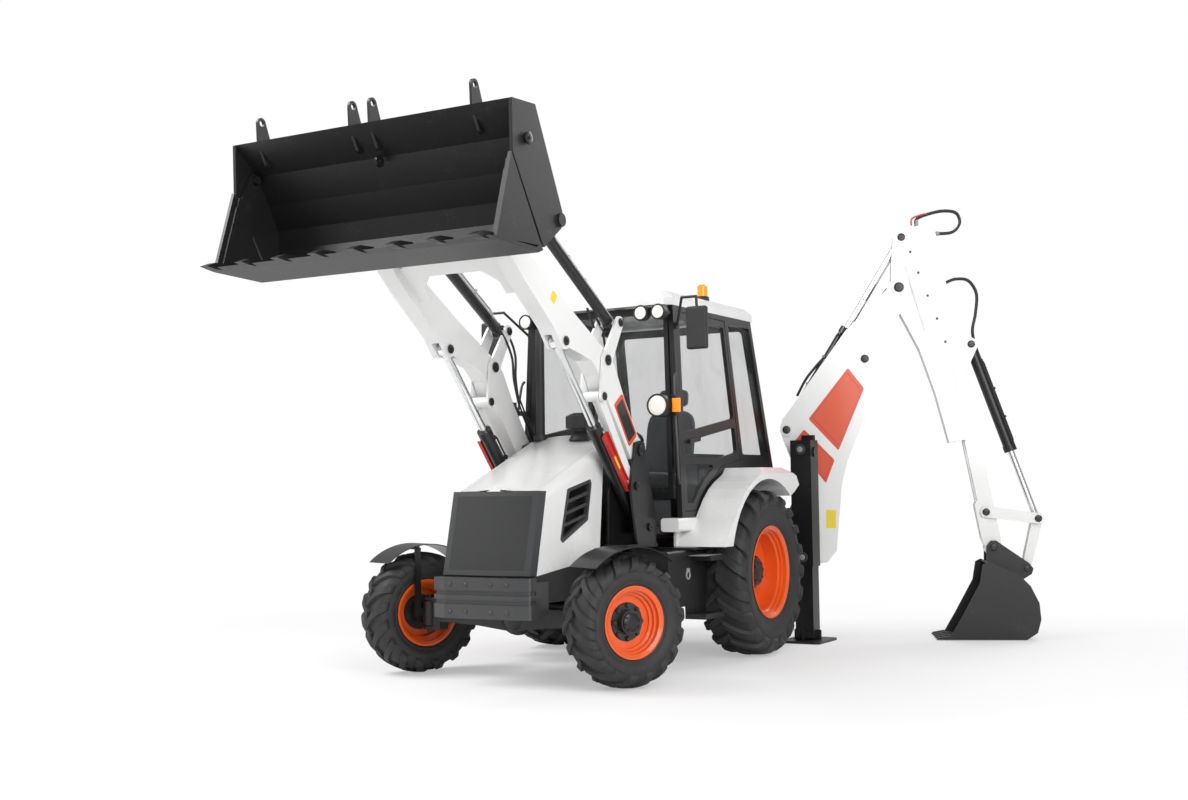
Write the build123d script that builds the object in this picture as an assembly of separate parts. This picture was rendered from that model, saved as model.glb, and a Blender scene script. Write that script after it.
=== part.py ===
"""Backhoe loader with a clam loader bucket, a telescopic dipper and a side-shift digger.

Units are millimetres.  +X is forward, +Y is the machine's left, +Z is up, and the
origin is on the floor below the middle of the rear axle.
"""
import os
from math import atan2, cos, degrees, hypot, pi, radians, sin, sqrt

from build123d import *

# ---------------------------------------------------------------- fits and stock sizes
PIN_GAP = 0.3            # radial clearance of a pin in its bore
SIDE_GAP = 6.0           # clearance between plates that turn beside each other
SEAT_GAP = 0.3           # clearance of a piece seated on its carrier on another body
PLATE = 20.0             # common plate thickness
GLASS_T = 6.0            # window glass thickness
BORE_WALL = 9.0          # wall of a cylinder barrel

# ---------------------------------------------------------------- wheels and axles
WHEELBASE = 2200.0
FRONT_TRACK = 1962.0
REAR_TRACK = 1918.0
STEER_REST = -24.5       # steering angle at rest, degrees, turned to the right
KINGPIN_TO_WHEEL = 169.0
STEER_ARM = 215.0
STEER_ARM_Z = 455.0
KINGPIN_R = 24.0
# outer radius, width, rim radius, rim half width, disc plane, hub radius, hub reach
FRONT_WHEEL = dict(tyre_r=475.0, tyre_w=316.0, rim_r=262.0, rim_half=127.0, disc=20.0,
                   hub_r=88.0, hub_reach=104.0, flange=14.0, lug=26.0, lug_w=44.0, lugs=14)
REAR_WHEEL = dict(tyre_r=704.0, tyre_w=420.0, rim_r=392.0, rim_half=186.0, disc=-20.0,
                  hub_r=118.0, hub_reach=70.0, flange=18.0, lug=34.0, lug_w=60.0, lugs=15)
FLANGE_EDGE = 0.25       # share of a rim flange's width that is left at its edge
LUG_SLANT = 36.0         # degrees between a lug and the wheel's axle
LUG_OVERLAP = 14.0       # how far a lug runs past the crown's middle
LUG_FLAT = 0.88          # share of a lug's reach that its flat top takes
LUG_ROOT = 16.0          # how deep a lug is rooted in the carcass
AXLE_BEAM = 150.0        # front beam depth at its middle
REAR_AXLE_R = 95.0

# ---------------------------------------------------------------- frame
RAIL_Y = 400.0           # outer face of the frame rails
RAIL_T = 25.0
FRAME_REAR = -1140.0
FRAME_FRONT = 2590.0
FRAME_LOW = 520.0
FRAME_HIGH = 1010.0

# ---------------------------------------------------------------- hood and front end
HOOD_HALF = 405.0
HOOD_T = 12.0
HOOD_FRONT_TOP = (2461.0, 1450.0)
HOOD_FRONT_LOW = (2612.0, 812.0)
HOOD_REAR_TOP = (1420.0, 1862.0)
WEIGHT_HALF = 432.0
WEIGHT_LOW = 496.0
WEIGHT_HIGH = 793.0
WEIGHT_FRONT = 2715.0

# ---------------------------------------------------------------- cab
CAB_FRONT = 925.0
CAB_REAR_LOW = -985.0
CAB_REAR_TOP = -655.0
CAB_SILL_Z = 1185.0
CAB_TOP_Z = 2930.0
CAB_HALF_LOW = 775.0
CAB_HALF_TOP = 700.0
PILLAR = 60.0            # width of a cab pillar
CAB_WALL = 45.0          # thickness of the cab frame and of a door
FENDER_OUT = 1140.0
FENDER_TOP = 1592.0
FENDER_R = 790.0
DOOR_GAP = 6.0
DOOR_HINGE = (893.0, 792.0)   # vertical hinge line (x, y) of the left door

# ---------------------------------------------------------------- loader linkage (x, z)
ARM_Y = 519.0            # middle plane of each loader arm
ARM_T = 140.0
LEVER_T = 20.0
PIN_R = 28.0
ARM_PIN = (1338.0, 1728.0)
LEVER_PIN = (1840.0, 2412.0)
LEVER_LOW = (1904.0, 2132.0)
LEVER_TOP = (1635.0, 2720.0)
ARM_TIP = (3400.0, 3374.0)
LIFT_BASE = (1200.0, 1120.0)
LIFT_EYE = (2417.0, 2516.0)
LIFT_TRAVEL = 67.2       # degrees that the arms lower from the raised position
ROLL_BACK = 40.0         # degrees that the bucket rolls back
FOLD_EAR_R = 54.0        # relief in the arm for the bucket's ears when all is folded
FOLD_PLATE_R = 124.0     # the same in the cross plate's ends
FOLD_DEPTH = 36.0        # how deep that relief goes in from each end
LIFT_Y = 505.0           # middle plane of the lift cylinders
LIFT_BORE_R = 52.0
LIFT_ROD_R = 30.0
LIFT_BARREL = 1045.0     # base pin to the barrel's mouth
TILT_BORE_R = 46.0
TILT_ROD_R = 27.0
TILT_BARREL = 1090.0
LINK_Y = 574.5           # middle plane of each levelling link
LINK_T = 25.0

# ---------------------------------------------------------------- loader bucket (x, z)
BUCKET_HALF = 1176.0
BUCKET_SIDE_T = 25.0
BUCKET_PLATE = 14.0
CLAM_PIN = (3829.0, 3651.0)
BUCKET_LIP = (3995.0, 3878.0)
BUCKET_BACK_TOP = (3722.0, 3894.0)
BUCKET_BACK_LOW = (3428.0, 3190.0)
BUCKET_HEEL = (3625.0, 2985.0)
CLAM_EDGE = (4262.0, 2972.0)
FORK_LUG_Y = (-972.0, -151.0, 17.0, 845.0)
FORK_LUG_HOLE = (3930.0, 4020.0)
FORK_LUG_HOLE_R = 22.0
LOADER_TEETH = 8

# ---------------------------------------------------------------- digger (s, z) in its plane
SWING_X = -1360.0
SWING_Y = 520.0
SWING_REST = 112.0       # direction of the digger's plane from +X, degrees
BOOM_FOOT = (350.0, 780.0)
BOOM_CYL_BASE = (220.0, 1080.0)
BOOM_CYL_EYE = (952.0, 2617.0)
ELBOW = (1284.0, 3283.0)
DIPPER_CYL_BASE = (207.0, 1960.0)
DIPPER_CYL_EYE = (1319.0, 3763.0)
EXTEND_PIN = (1563.0, 3818.0)
BUCKET_CYL_BASE = (1938.0, 2734.0)
BUCKET_CYL_EYE = (2493.0, 1100.0)
TIP_LEVER_PIN = (2026.0, 1165.0)
DIG_BUCKET_PIN = (2085.0, 838.0)
DIG_LINK_PIN = (2378.0, 639.0)
SLIDE_DIR = (0.1760, -0.9844)    # along the telescopic dipper
DIPPER_BACK = (1673.0, 3603.0)   # a point on the inner dipper's back face
BOOM_HALF = 124.0
OUTER_HALF = 98.0
OUTER_T = 16.0
INNER_HALF = 76.0
INNER_DEPTH = 150.0      # inner dipper, square to its slide
KING_R = 88.0
KING_PIN_R = 42.0
SWING_LUG_LOW = 560.0
SWING_LUG_HIGH = 1150.0
SWING_LUG_T = 45.0
FOOT_PIN_R = 34.0
DIG_PIN_R = 32.0
LINK_PIN_R = 28.0
DIG_BUCKET_HALF = 303.0
DIG_CYL_R = 55.0
DIG_ROD_R = 31.0
BOOM_BARREL = 1010.0     # base pin to the mouth of each digger cylinder's barrel
DIPPER_BARREL = 1128.0
BUCKET_BARREL = 1063.0
DIG_TEETH = 5

# ---------------------------------------------------------------- rear frame and stabilisers
REAR_PLATE_X = -1180.0   # front face of the carriage's plate
LEG_X = -1150.0
LEG_Y = 1000.0
LEG_W = 200.0            # across the machine
LEG_L = 180.0            # along the machine
LEG_WALL = 12.0
LEG_LOW = 690.0
LEG_HIGH = 1850.0
RAIL_TOP_Z = 1120.0
RAIL_LOW_Z = 560.0
RAIL_SIZE = 80.0

BASE = (Align.CENTER, Align.CENTER, Align.MIN)
SIDE = Plane.XZ          # local x forward, local y up, local z to the right


# ================================================================ small tools
def slab(plane, points, low, high, rounding=0.0):
    """Plate with a flat outline, from low to high along the plane's normal."""
    face = make_face(Polyline(*points, close=True))
    if rounding:
        face = fillet(face.vertices(), rounding)
    return plane * (Pos(0, 0, low) * extrude(face, amount=high - low))


def side_plate(points, y_low, y_high, rounding=0.0):
    """Plate with an (x, z) outline between two y values."""
    return slab(SIDE, points, -y_high, -y_low, rounding)


def pin(plane, centre, radius, low, high):
    """Round pin square to a plane."""
    return plane * (Pos(centre[0], centre[1], low) * Cylinder(radius, high - low, align=BASE))


def side_pin(centre, radius, y_low, y_high):
    """Round pin along Y through an (x, z) point."""
    return pin(SIDE, centre, radius, -y_high, -y_low)


def strap(plane, p, p_r, q, q_r, low, high):
    """Bar with round ends of two radii, its sides tangent to both."""
    dx, dy = q[0] - p[0], q[1] - p[1]
    length = hypot(dx, dy)
    along = atan2(dy, dx)
    tangent = radians(90) + atan2(q_r - p_r, length)
    corners = []
    for centre, radius, sign in ((p, p_r, 1), (q, q_r, 1), (q, q_r, -1), (p, p_r, -1)):
        angle = along + sign * tangent
        corners.append((centre[0] + radius * cos(angle), centre[1] + radius * sin(angle)))
    return (slab(plane, corners, low, high) + pin(plane, p, p_r, low, high)
            + pin(plane, q, q_r, low, high))


def side_strap(p, p_r, q, q_r, y_low, y_high):
    """Bar with round ends between two (x, z) points."""
    return strap(SIDE, p, p_r, q, q_r, -y_high, -y_low)


def rod(start, end, radius, bore=0.0):
    """Round bar or tube between two points in space."""
    axis = Vector(*end) - Vector(*start)
    frame = Plane(origin=start, z_dir=axis)
    solid = Cylinder(radius, axis.length, align=BASE)
    if bore:
        solid -= Cylinder(bore, axis.length, align=BASE)
    return frame * solid


def block(x_low, x_high, y_low, y_high, z_low, z_high):
    """Box between two corners."""
    box = Box(x_high - x_low, y_high - y_low, z_high - z_low,
              align=(Align.MIN, Align.MIN, Align.MIN))
    return Pos(x_low, y_low, z_low) * box


def both(solid):
    """The solid and its mirror image on the machine's other side."""
    return solid + mirror(solid, about=Plane.XZ)


def between(p, q, distance):
    """Point at a distance from p towards q."""
    length = hypot(q[0] - p[0], q[1] - p[1])
    return (p[0] + (q[0] - p[0]) * distance / length,
            p[1] + (q[1] - p[1]) * distance / length)


def on_plane(plane, point):
    """Point in space of a plane's (x, y) point."""
    return tuple(plane.from_local_coords((point[0], point[1], 0)))


def offset_point(p, direction, along, across):
    """Point moved along a unit direction and across it, to its left."""
    return (p[0] + direction[0] * along - direction[1] * across,
            p[1] + direction[1] * along + direction[0] * across)


def barrel(plane, base, eye, length, radius, rod_r, eye_half, pin_r):
    """Cylinder barrel: an eye on its base pin, a bored tube, and a gland at its mouth."""
    # distances from the base pin along the axis
    marks = (1.2 * pin_r, 3.4 * pin_r, length - 60, length - 40, length, length + 5)
    start, bottom, neck, gland, mouth, beyond = [
        on_plane(plane, between(base, eye, mark)) for mark in marks]
    body = rod(start, mouth, radius) + rod(neck, mouth, radius + 7)
    body += pin(plane, base, pin_r * 1.9, -eye_half, eye_half)
    body -= pin(plane, base, pin_r + PIN_GAP, -2 * radius, 2 * radius)
    return body - rod(bottom, gland, radius - BORE_WALL) - rod(gland, beyond, rod_r + PIN_GAP)


def piston_rod(plane, base, eye, length, radius, bore_r, eye_half, pin_r, buried):
    """Chromed rod with its piston in the barrel and an open eye at its end."""
    start = on_plane(plane, between(base, eye, length - buried))
    head = on_plane(plane, between(base, eye, length - buried + 60))
    end = on_plane(plane, between(eye, base, pin_r * 1.3))
    body = rod(start, head, bore_r - BORE_WALL - PIN_GAP) + rod(start, end, radius)
    body += pin(plane, eye, pin_r * 1.8, -eye_half, eye_half)
    return body - pin(plane, eye, pin_r + PIN_GAP, -2 * eye_half, 2 * eye_half)


# ================================================================ wheels
def wheel_plane(side, front):
    """Plane of a wheel: its origin at the wheel's centre, its normal outwards."""
    if not front:
        return Plane(origin=(0, side * REAR_TRACK / 2, REAR_WHEEL["tyre_r"]),
                     x_dir=(1, 0, 0), z_dir=(0, side, 0))
    turn = radians(STEER_REST)
    out = (-sin(turn) * side, cos(turn) * side, 0)
    pivot = FRONT_TRACK / 2 - KINGPIN_TO_WHEEL
    centre = (WHEELBASE + KINGPIN_TO_WHEEL * out[0], side * pivot + KINGPIN_TO_WHEEL * out[1],
              FRONT_WHEEL["tyre_r"])
    return Plane(origin=centre, x_dir=(cos(turn), sin(turn), 0), z_dir=out)


def turned(profile):
    """Solid of revolution from a closed (radius, height) outline."""
    face = make_face(Polyline(*[(r, 0, h) for r, h in profile], close=True))
    return revolve(face, axis=Axis.Z)


def lug_pair(size):
    """One left and one right lug: bars that run aslant from the crown over the shoulder."""
    half, lug = size["tyre_w"] / 2, size["lug"]
    crown = size["tyre_r"] - lug
    slant = radians(LUG_SLANT)
    reach = (half - size["lug_w"] / 2 * sin(slant)) / cos(slant)
    flat = LUG_FLAT * reach
    shift = (flat - LUG_OVERLAP) * sin(slant) / 2
    corner = size["lug_w"] / 2 * cos(slant) + (flat + LUG_OVERLAP) * sin(slant) / 2
    half_pitch = 180.0 / size["lugs"]
    # the two corners nearest the ground stand on it, so they lie just outside the radius
    spread = radians(half_pitch) - atan2(corner, size["tyre_r"])
    top = sqrt((size["tyre_r"] / cos(spread)) ** 2 - corner ** 2)
    line = [(-LUG_OVERLAP, crown - LUG_ROOT), (reach * 0.86, crown - LUG_ROOT - 22),
            (reach * 0.95, crown - 2.3 * lug), (reach, crown - 0.7 * lug),
            (flat, top), (-LUG_OVERLAP, top)]
    bar = extrude(Plane.YZ * make_face(Polyline(*line, close=True)), amount=size["lug_w"] / 2,
                  both=True)
    left = Pos(-shift, 0, 0) * (Rot(0, 0, -LUG_SLANT) * bar)
    return left, Rot(0, half_pitch, 0) * mirror(left, about=Plane.XZ)


def faceted_ring(profile, sides):
    """Ring of flat facets from a closed (radius, height) outline, round the z axis."""
    turns = [2 * pi * step / sides for step in range(sides + 1)]
    rings = [[(r * cos(a), r * sin(a), h) for a in turns] for r, h in profile]
    faces = []
    for low, high in zip(rings, rings[1:] + rings[:1]):
        for a, b, c, d in zip(low, low[1:], high[1:], high):
            faces.append(Face(Wire.make_polygon([a, b, c, d], close=True)))
    return Solid(Shell(faces))


def tyre(size):
    """Tyre as one faceted ring that sits on the rim's beads, with its lugs fused on."""
    half = size["tyre_w"] / 2
    outer = size["tyre_r"] - size["lug"]
    sides = 2 * size["lugs"]
    bead = (size["rim_r"] - 22) / cos(pi / sides)
    seat = size["rim_half"] - size["flange"] - 2
    middle = bead + 0.42 * (outer - bead)
    shoulder = [(bead, seat), (middle, half - 4), (outer - 40, half - 10), (outer, half - 60)]
    profile = shoulder + [(r, -h) for r, h in reversed(shoulder)]
    upright = Rot(90, 0, 0)      # the wheel's axis along y, so that a lug stands along z
    lugs = []
    for step in range(size["lugs"]):
        for bar in lug_pair(size):
            lugs.append(Rot(0, 360.0 * step / size["lugs"], 0) * bar)
    body = (upright * faceted_ring(profile, sides)).fuse(*lugs)
    return Rot(-90, 0, 0) * body


def rim(size):
    """Wheel rim with stepped well, disc and hub."""
    half, r, lip = size["rim_half"], size["rim_r"], size["flange"]
    bead = r - 22 - SEAT_GAP
    disc = size["disc"]
    edge = FLANGE_EDGE * lip
    outer = [(r, half), (r, half - edge), (bead, half - lip), (bead, half - lip - 32),
             (bead - 34, half - lip - 62), (bead - 34, -half + lip + 62),
             (bead, -half + lip + 32), (bead, -half + lip), (r, -half + edge), (r, -half)]
    inner = [(r - 16, -half), (bead - 14, -half + lip), (bead - 14, -half + lip + 30),
             (bead - 48, -half + lip + 64), (bead - 48, disc - 10), (20, disc - 10),
             (20, disc + 10), (bead - 48, disc + 10), (bead - 48, half - lip - 66),
             (bead - 28, half - lip - 60), (bead - 28, half - lip - 34),
             (bead - 12, half - lip - 30), (bead - 12, half - lip + 2), (r - 12, half)]
    return turned(outer + inner)


def hub(size):
    """Round hub in the wheel's disc, with a ring of nuts."""
    disc, reach = size["disc"], size["hub_reach"]
    nuts = PolarLocations(size["hub_r"] + 32, 8)
    body = Pos(0, 0, disc + 10 + SEAT_GAP) * Cylinder(size["hub_r"], reach - disc - 26, align=BASE)
    body += Pos(0, 0, reach - 16 + SEAT_GAP) * Cylinder(size["hub_r"] - 14, 10, align=BASE)
    body += Pos(0, 0, disc - 10) * Cylinder(20 - SEAT_GAP, 30, align=BASE)
    body += Pos(0, 0, disc + 10 + SEAT_GAP) * Cylinder(size["hub_r"] + 46, 6, align=BASE)
    for place in nuts:
        body += place * (Pos(0, 0, disc + 16) * Cylinder(13, 20, align=BASE))
    return body


def wheel(side, front):
    """Tyre and rim of one wheel, in place."""
    size = FRONT_WHEEL if front else REAR_WHEEL
    plane = wheel_plane(side, front) * Rot(0, 0, 90 - 90 * side)
    return {"tyre": plane * tyre(size), "rim": plane * (rim(size) + hub(size))}


# ================================================================ axles and steering
def front_axle():
    """Beam with a differential bulge and a fork for each kingpin."""
    z = FRONT_WHEEL["tyre_r"]
    pivot = FRONT_TRACK / 2 - KINGPIN_TO_WHEEL
    half = AXLE_BEAM / 2
    outline = [(-700, z - 55), (-300, z - half), (0, z - half - 35), (300, z - half),
               (700, z - 55), (700, z + 55), (300, z + half - 10), (-300, z + half - 10),
               (-700, z + 55)]
    across = Plane(origin=(WHEELBASE, 0, 0), x_dir=(0, 1, 0), z_dir=(1, 0, 0))
    beam = slab(across, outline, -75, 75)
    beam += Pos(WHEELBASE - 20, 0, z - 10) * Sphere(135)
    fork = block(WHEELBASE - 55, WHEELBASE + 55, 680, pivot - 62, z - 125, z + 125)
    for z_low in (z - 125, z + 100):
        fork += block(WHEELBASE - 55, WHEELBASE + 55, pivot - 62, pivot, z_low, z_low + 25)
        fork += Pos(WHEELBASE, pivot, z_low) * Cylinder(55, 25, align=BASE)
    bore = Pos(WHEELBASE, pivot, z - 200) * Cylinder(KINGPIN_R + PIN_GAP, 400, align=BASE)
    saddle = block(WHEELBASE - 70, WHEELBASE + 70, -170, 170, z + half - 30, 600 - SEAT_GAP)
    return beam + both(fork - bore) + saddle


def steer_point(side):
    """Ball joint at the end of a knuckle's steering arm (x, y), at rest."""
    turn = radians(STEER_REST)
    pivot = side * (FRONT_TRACK / 2 - KINGPIN_TO_WHEEL)
    return (WHEELBASE - STEER_ARM * cos(turn), pivot - STEER_ARM * sin(turn))


def knuckle(side):
    """Steering knuckle with its stub axle, steering arm and mudguard."""
    z = FRONT_WHEEL["tyre_r"]
    pivot = side * (FRONT_TRACK / 2 - KINGPIN_TO_WHEEL)
    frame = Plane(origin=(WHEELBASE, pivot, 0), x_dir=(cos(radians(STEER_REST)),
                  sin(radians(STEER_REST)), 0), z_dir=(0, 0, 1))
    body = Pos(0, 0, z - 125 - 20) * Cylinder(KINGPIN_R, 290, align=BASE)
    body += Pos(0, 0, z - 100 + SIDE_GAP) * Cylinder(58, 200 - 2 * SIDE_GAP, align=BASE)
    disc_face = KINGPIN_TO_WHEEL + FRONT_WHEEL["disc"] - 10 - SEAT_GAP
    out = Plane(origin=(0, 0, z), x_dir=(1, 0, 0), z_dir=(0, side, 0))
    body += out * Cylinder(52, disc_face, align=BASE)
    body += out * (Pos(0, 0, 70) * Cylinder(84, disc_face - 70, align=BASE))
    arm_z = STEER_ARM_Z
    body += Pos(0, 0, arm_z) * block(-STEER_ARM, -40, -14, 14, 0, 26)
    body += Pos(-STEER_ARM, 0, arm_z) * Cylinder(30, 26, align=BASE)
    body -= Pos(-STEER_ARM, 0, arm_z - 50) * Cylinder(14 + PIN_GAP, 150, align=BASE)
    guard_r = FRONT_WHEEL["tyre_r"] + 58
    post_x = 112.0
    post_y = side * -4.0
    top = z + guard_r * sin(radians(78)) - 10
    body += block(20, post_x + 25, post_y - 8, post_y + 8, z - 20, z + 40)
    body += block(post_x - 25, post_x + 25, post_y - 8, post_y + 8, z - 20, top)
    wheel_side = Plane(origin=(0, side * KINGPIN_TO_WHEEL, z), x_dir=(1, 0, 0), z_dir=(0, -1, 0))
    sweep_low, sweep_high = 48, 128
    sector = [(0, 0)] + [(1.6 * guard_r * cos(radians(a)), 1.6 * guard_r * sin(radians(a)))
                         for a in (sweep_low, 88, sweep_high)]
    ring = Cylinder(guard_r + 6, 330) - Cylinder(guard_r, 330)
    ring &= Pos(0, 0, -165) * extrude(make_face(Polyline(*sector, close=True)), amount=330)
    body += wheel_side * ring
    across = Plane(origin=(post_x, side * KINGPIN_TO_WHEEL, 0), x_dir=(0, side, 0),
                   z_dir=(side, 0, 0))
    stay = slab(across, [(-190, top - 60), (-160, top - 60), (120, top - 8), (120, top + 30),
                         (-190, top + 30)], -10, 10)
    body += stay - wheel_side * Cylinder(guard_r - 20, 900) - wheel_side * (
        Cylinder(guard_r + 400, 900) - Cylinder(guard_r + 3, 900))
    return frame * body


def tie_rod():
    """Rod that joins the knuckles' steering arms; its right eye is an open ring."""
    left, right = steer_point(1), steer_point(-1)
    z = STEER_ARM_Z - 4
    low = z - 34
    body = rod((left[0], left[1] - 20, low + 17), (right[0], right[1] + 20, low + 17), 14)
    for point in (left, right):
        body += Pos(*point, low) * Cylinder(32, 34, align=BASE)
    body += Pos(*left, low) * Cylinder(14, 34 + 34, align=BASE)
    return body - Pos(*right, low - 5) * Cylinder(14, 60, align=BASE)


def rear_axle():
    """Round axle housing with a differential, flanges and frame pads."""
    z = REAR_WHEEL["tyre_r"]
    end = REAR_TRACK / 2 + REAR_WHEEL["disc"] - 10 - SEAT_GAP
    body = rod((0, -end, z), (0, end, z), REAR_AXLE_R)
    body += Pos(0, 0, z) * Sphere(190)
    flange = rod((0, end - 140, z), (0, end, z), REAR_WHEEL["hub_r"] + 30)
    pad = block(-95, 95, RAIL_Y - RAIL_T - 60, RAIL_Y + 60, z, z + 140)
    return body + both(flange) + both(pad)


# ================================================================ frame
def main_frame():
    """Two rails with cross plates, a belly plate and the loader towers."""
    axle_top = REAR_WHEEL["tyre_r"] + 140 + SEAT_GAP
    rail_outline = [
        (FRAME_REAR, FRAME_LOW), (FRAME_REAR, FRAME_HIGH), (900, FRAME_HIGH),
        (1640, 898), (FRAME_FRONT, 800), (FRAME_FRONT, 640), (2450, 600), (1950, 600),
        (1750, FRAME_LOW), (320, FRAME_LOW), (180, axle_top), (-180, axle_top),
        (-320, FRAME_LOW)]
    body = both(side_plate(rail_outline, RAIL_Y - RAIL_T, RAIL_Y))
    inner = RAIL_Y - RAIL_T
    for x, low, high in ((FRAME_FRONT - PLATE, 640, 800), (2300, 600, 700), (1650, 560, 620),
                         (900, 560, 760), (FRAME_REAR, FRAME_LOW, FRAME_HIGH)):
        body += block(x, x + PLATE, -inner, inner, low, high)
    body += block(320, 1750, -inner, inner, FRAME_LOW, FRAME_LOW + 12)
    body += block(WHEELBASE - 90, WHEELBASE + 90, -inner, inner, 600, 620)
    body += both(tower())
    return body


def tower():
    """Left loader tower: two plates that hold the arm, link and lift cylinder pins."""
    inner_low = ARM_Y - ARM_T / 2 - SIDE_GAP - LEVER_T
    outer_low = ARM_Y + ARM_T / 2 + SIDE_GAP
    inner = [(1060, 780), (1060, 1180), (1240, 1790), (1338, 1812), (1420, 1790),
             (1540, 1400), (1560, 860)]
    outer = [(1090, 990), (1090, 1180), (1262, 1790), (1338, 1806), (1412, 1790),
             (1500, 1440), (1400, 990)]
    body = side_plate(inner, inner_low, inner_low + LEVER_T, 12)
    body += side_plate(outer, outer_low, outer_low + LEVER_T, 12)
    body += block(1060, 1560, RAIL_Y - 1, outer_low + LEVER_T, 960, 990)
    body += block(1060, 1560, RAIL_Y - 1, inner_low + LEVER_T, 800, 990)
    body += side_pin(ARM_PIN, PIN_R, inner_low, outer_low + LEVER_T + 8)
    body += side_pin(ARM_PIN, PIN_R + 18, outer_low + LEVER_T, outer_low + LEVER_T + 8)
    body += side_pin(LIFT_BASE, PIN_R, inner_low, outer_low + LEVER_T + 8)
    body += side_pin(link_base(), PIN_R, LINK_Y - LINK_T / 2 - 6, outer_low + LEVER_T + 8)
    return body


def link_base():
    """Levelling link's pin on the tower, from the parallelogram of the linkage."""
    return (ARM_PIN[0] + LEVER_LOW[0] - LEVER_PIN[0], ARM_PIN[1] + LEVER_LOW[1] - LEVER_PIN[1])


def engine_block():
    """Engine as one plain block on the frame."""
    low = FRAME_LOW + 12 + SEAT_GAP
    return block(1300, 2050, -250, 250, 640, 1330) + block(1350, 1640, -150, 150, low, 640)


# ================================================================ hood and front end
def hood_section(x, inset=0.0):
    """Hood cross-section at x: upright sides, round shoulders and a low crown."""
    slope = (HOOD_REAR_TOP[1] - HOOD_FRONT_TOP[1]) / (HOOD_FRONT_TOP[0] - HOOD_REAR_TOP[0])
    crown = HOOD_FRONT_TOP[1] + (HOOD_FRONT_TOP[0] - x) * slope - inset
    half = HOOD_HALF - inset
    shoulder = crown - 40
    low = 780.0
    r = 80.0 - inset / 2
    right = Line((-half, low), (-half, shoulder - r))
    right_arc = RadiusArc((-half, shoulder - r), (-half + r, shoulder), r)
    top = ThreePointArc((-half + r, shoulder), (0, crown), (half - r, shoulder))
    left_arc = RadiusArc((half - r, shoulder), (half, shoulder - r), r)
    left = Line((half, shoulder - r), (half, low))
    floor = Line((half, low), (-half, low))
    face = make_face([right, right_arc, top, left_arc, left, floor])
    return Plane(origin=(x, 0, 0), x_dir=(0, 1, 0), z_dir=(1, 0, 0)) * face


def rail_top(x):
    """Height of the rails' sloping top ahead of the towers."""
    return 898 - (x - 1640) * 98 / (FRAME_FRONT - 1640)


def hood():
    """Hood shell, open at the front for the grille, below and behind."""
    front, rear = 2700.0, 1300.0
    shell = loft([hood_section(rear), hood_section(front)], ruled=True)
    shell -= loft([hood_section(rear - 50, HOOD_T), hood_section(front + 50, HOOD_T)], ruled=True)
    run, rise = HOOD_FRONT_TOP[0] - HOOD_FRONT_LOW[0], HOOD_FRONT_TOP[1] - HOOD_FRONT_LOW[1]
    lip_x = HOOD_FRONT_LOW[0] + (1422 - HOOD_FRONT_LOW[1]) * run / rise
    low_x = HOOD_FRONT_LOW[0] - 62 - SEAT_GAP
    keep = [(1640, rail_top(1640) + SEAT_GAP), (low_x, rail_top(low_x) + SEAT_GAP),
            (lip_x - 62 - SEAT_GAP, 1422), (lip_x + 8, 1422),
            (HOOD_FRONT_TOP[0] + 8, 1600), (HOOD_REAR_TOP[0], 2100), (HOOD_REAR_TOP[0], 1800),
            (1560, 1660)]
    shell &= side_plate(keep, -600, 600)
    vent = [(2112, 1432), (1768, 1505), (1752, 1470), (1815, 1190), (2190, 1030), (2222, 1055)]
    return shell - side_plate(vent, -600, 600, 14)


def hood_vents():
    """Dark louvre frames in the hood's sides, with four slats each."""
    rim_points = [(2112, 1432), (1768, 1505), (1752, 1470), (1815, 1190), (2190, 1030),
                  (2222, 1055)]
    grown = side_plate(rim_points, HOOD_HALF - 26, HOOD_HALF + 3, 14)
    hole = [(2082, 1415), (1792, 1478), (1780, 1455), (1838, 1215), (2176, 1068),
            (2190, 1082)]
    body = grown - side_plate(hole, HOOD_HALF - 60, HOOD_HALF + 30, 10)
    for z in (1150, 1232, 1314, 1396):
        slat = [(1700, z + 95), (2260, z - 25), (2260, z - 3), (1700, z + 117)]
        body += (side_plate(slat, HOOD_HALF - 22, HOOD_HALF - 4)
                 & side_plate(hole, HOOD_HALF - 22, HOOD_HALF - 4, 10))
    return body


def front_grille():
    """Grille that fills the hood's slanted front and wraps its corners."""
    half = 385.0
    depth = 62.0
    bulge = 26.0
    side = HOOD_HALF - 2
    front = ThreePointArc((0, -half), (bulge, 0), (0, half))
    left = Line((0, half), (-depth, side))
    tuck = HOOD_HALF - HOOD_T - SEAT_GAP
    back = Polyline((-depth, side), (-depth, tuck), (-depth - 14, tuck))
    inner_left = Line((-depth - 14, tuck), (-18, half - 12))
    inner = ThreePointArc((-18, half - 12), (bulge - 18, 0), (-18, -half + 12))
    inner_right = Line((-18, -half + 12), (-depth - 14, -tuck))
    back_right = Polyline((-depth - 14, -tuck), (-depth, -tuck), (-depth, -side))
    right = Line((-depth, -side), (0, -half))
    face = make_face([front, left, back, inner_left, inner, inner_right, back_right, right])
    low = WEIGHT_HIGH + 13
    high = HOOD_FRONT_TOP[1] - 30
    run = HOOD_FRONT_TOP[0] - HOOD_FRONT_LOW[0]
    rise = HOOD_FRONT_TOP[1] - HOOD_FRONT_LOW[1]
    place = Pos(HOOD_FRONT_LOW[0] + (low - HOOD_FRONT_LOW[1]) * run / rise, 0, low)
    length = (high - low) * hypot(run, rise) / rise
    body = place * extrude(face, amount=length, dir=(run, 0, rise))
    back_low = HOOD_FRONT_LOW[0] - depth + (1335 - HOOD_FRONT_LOW[1]) * run / rise
    back_high = HOOD_FRONT_LOW[0] - depth + (1430 - HOOD_FRONT_LOW[1]) * run / rise
    return body - side_plate([(2300, 1335), (back_low, 1335), (back_high, 1430), (2300, 1430)],
                             -HOOD_HALF, HOOD_HALF)


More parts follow.
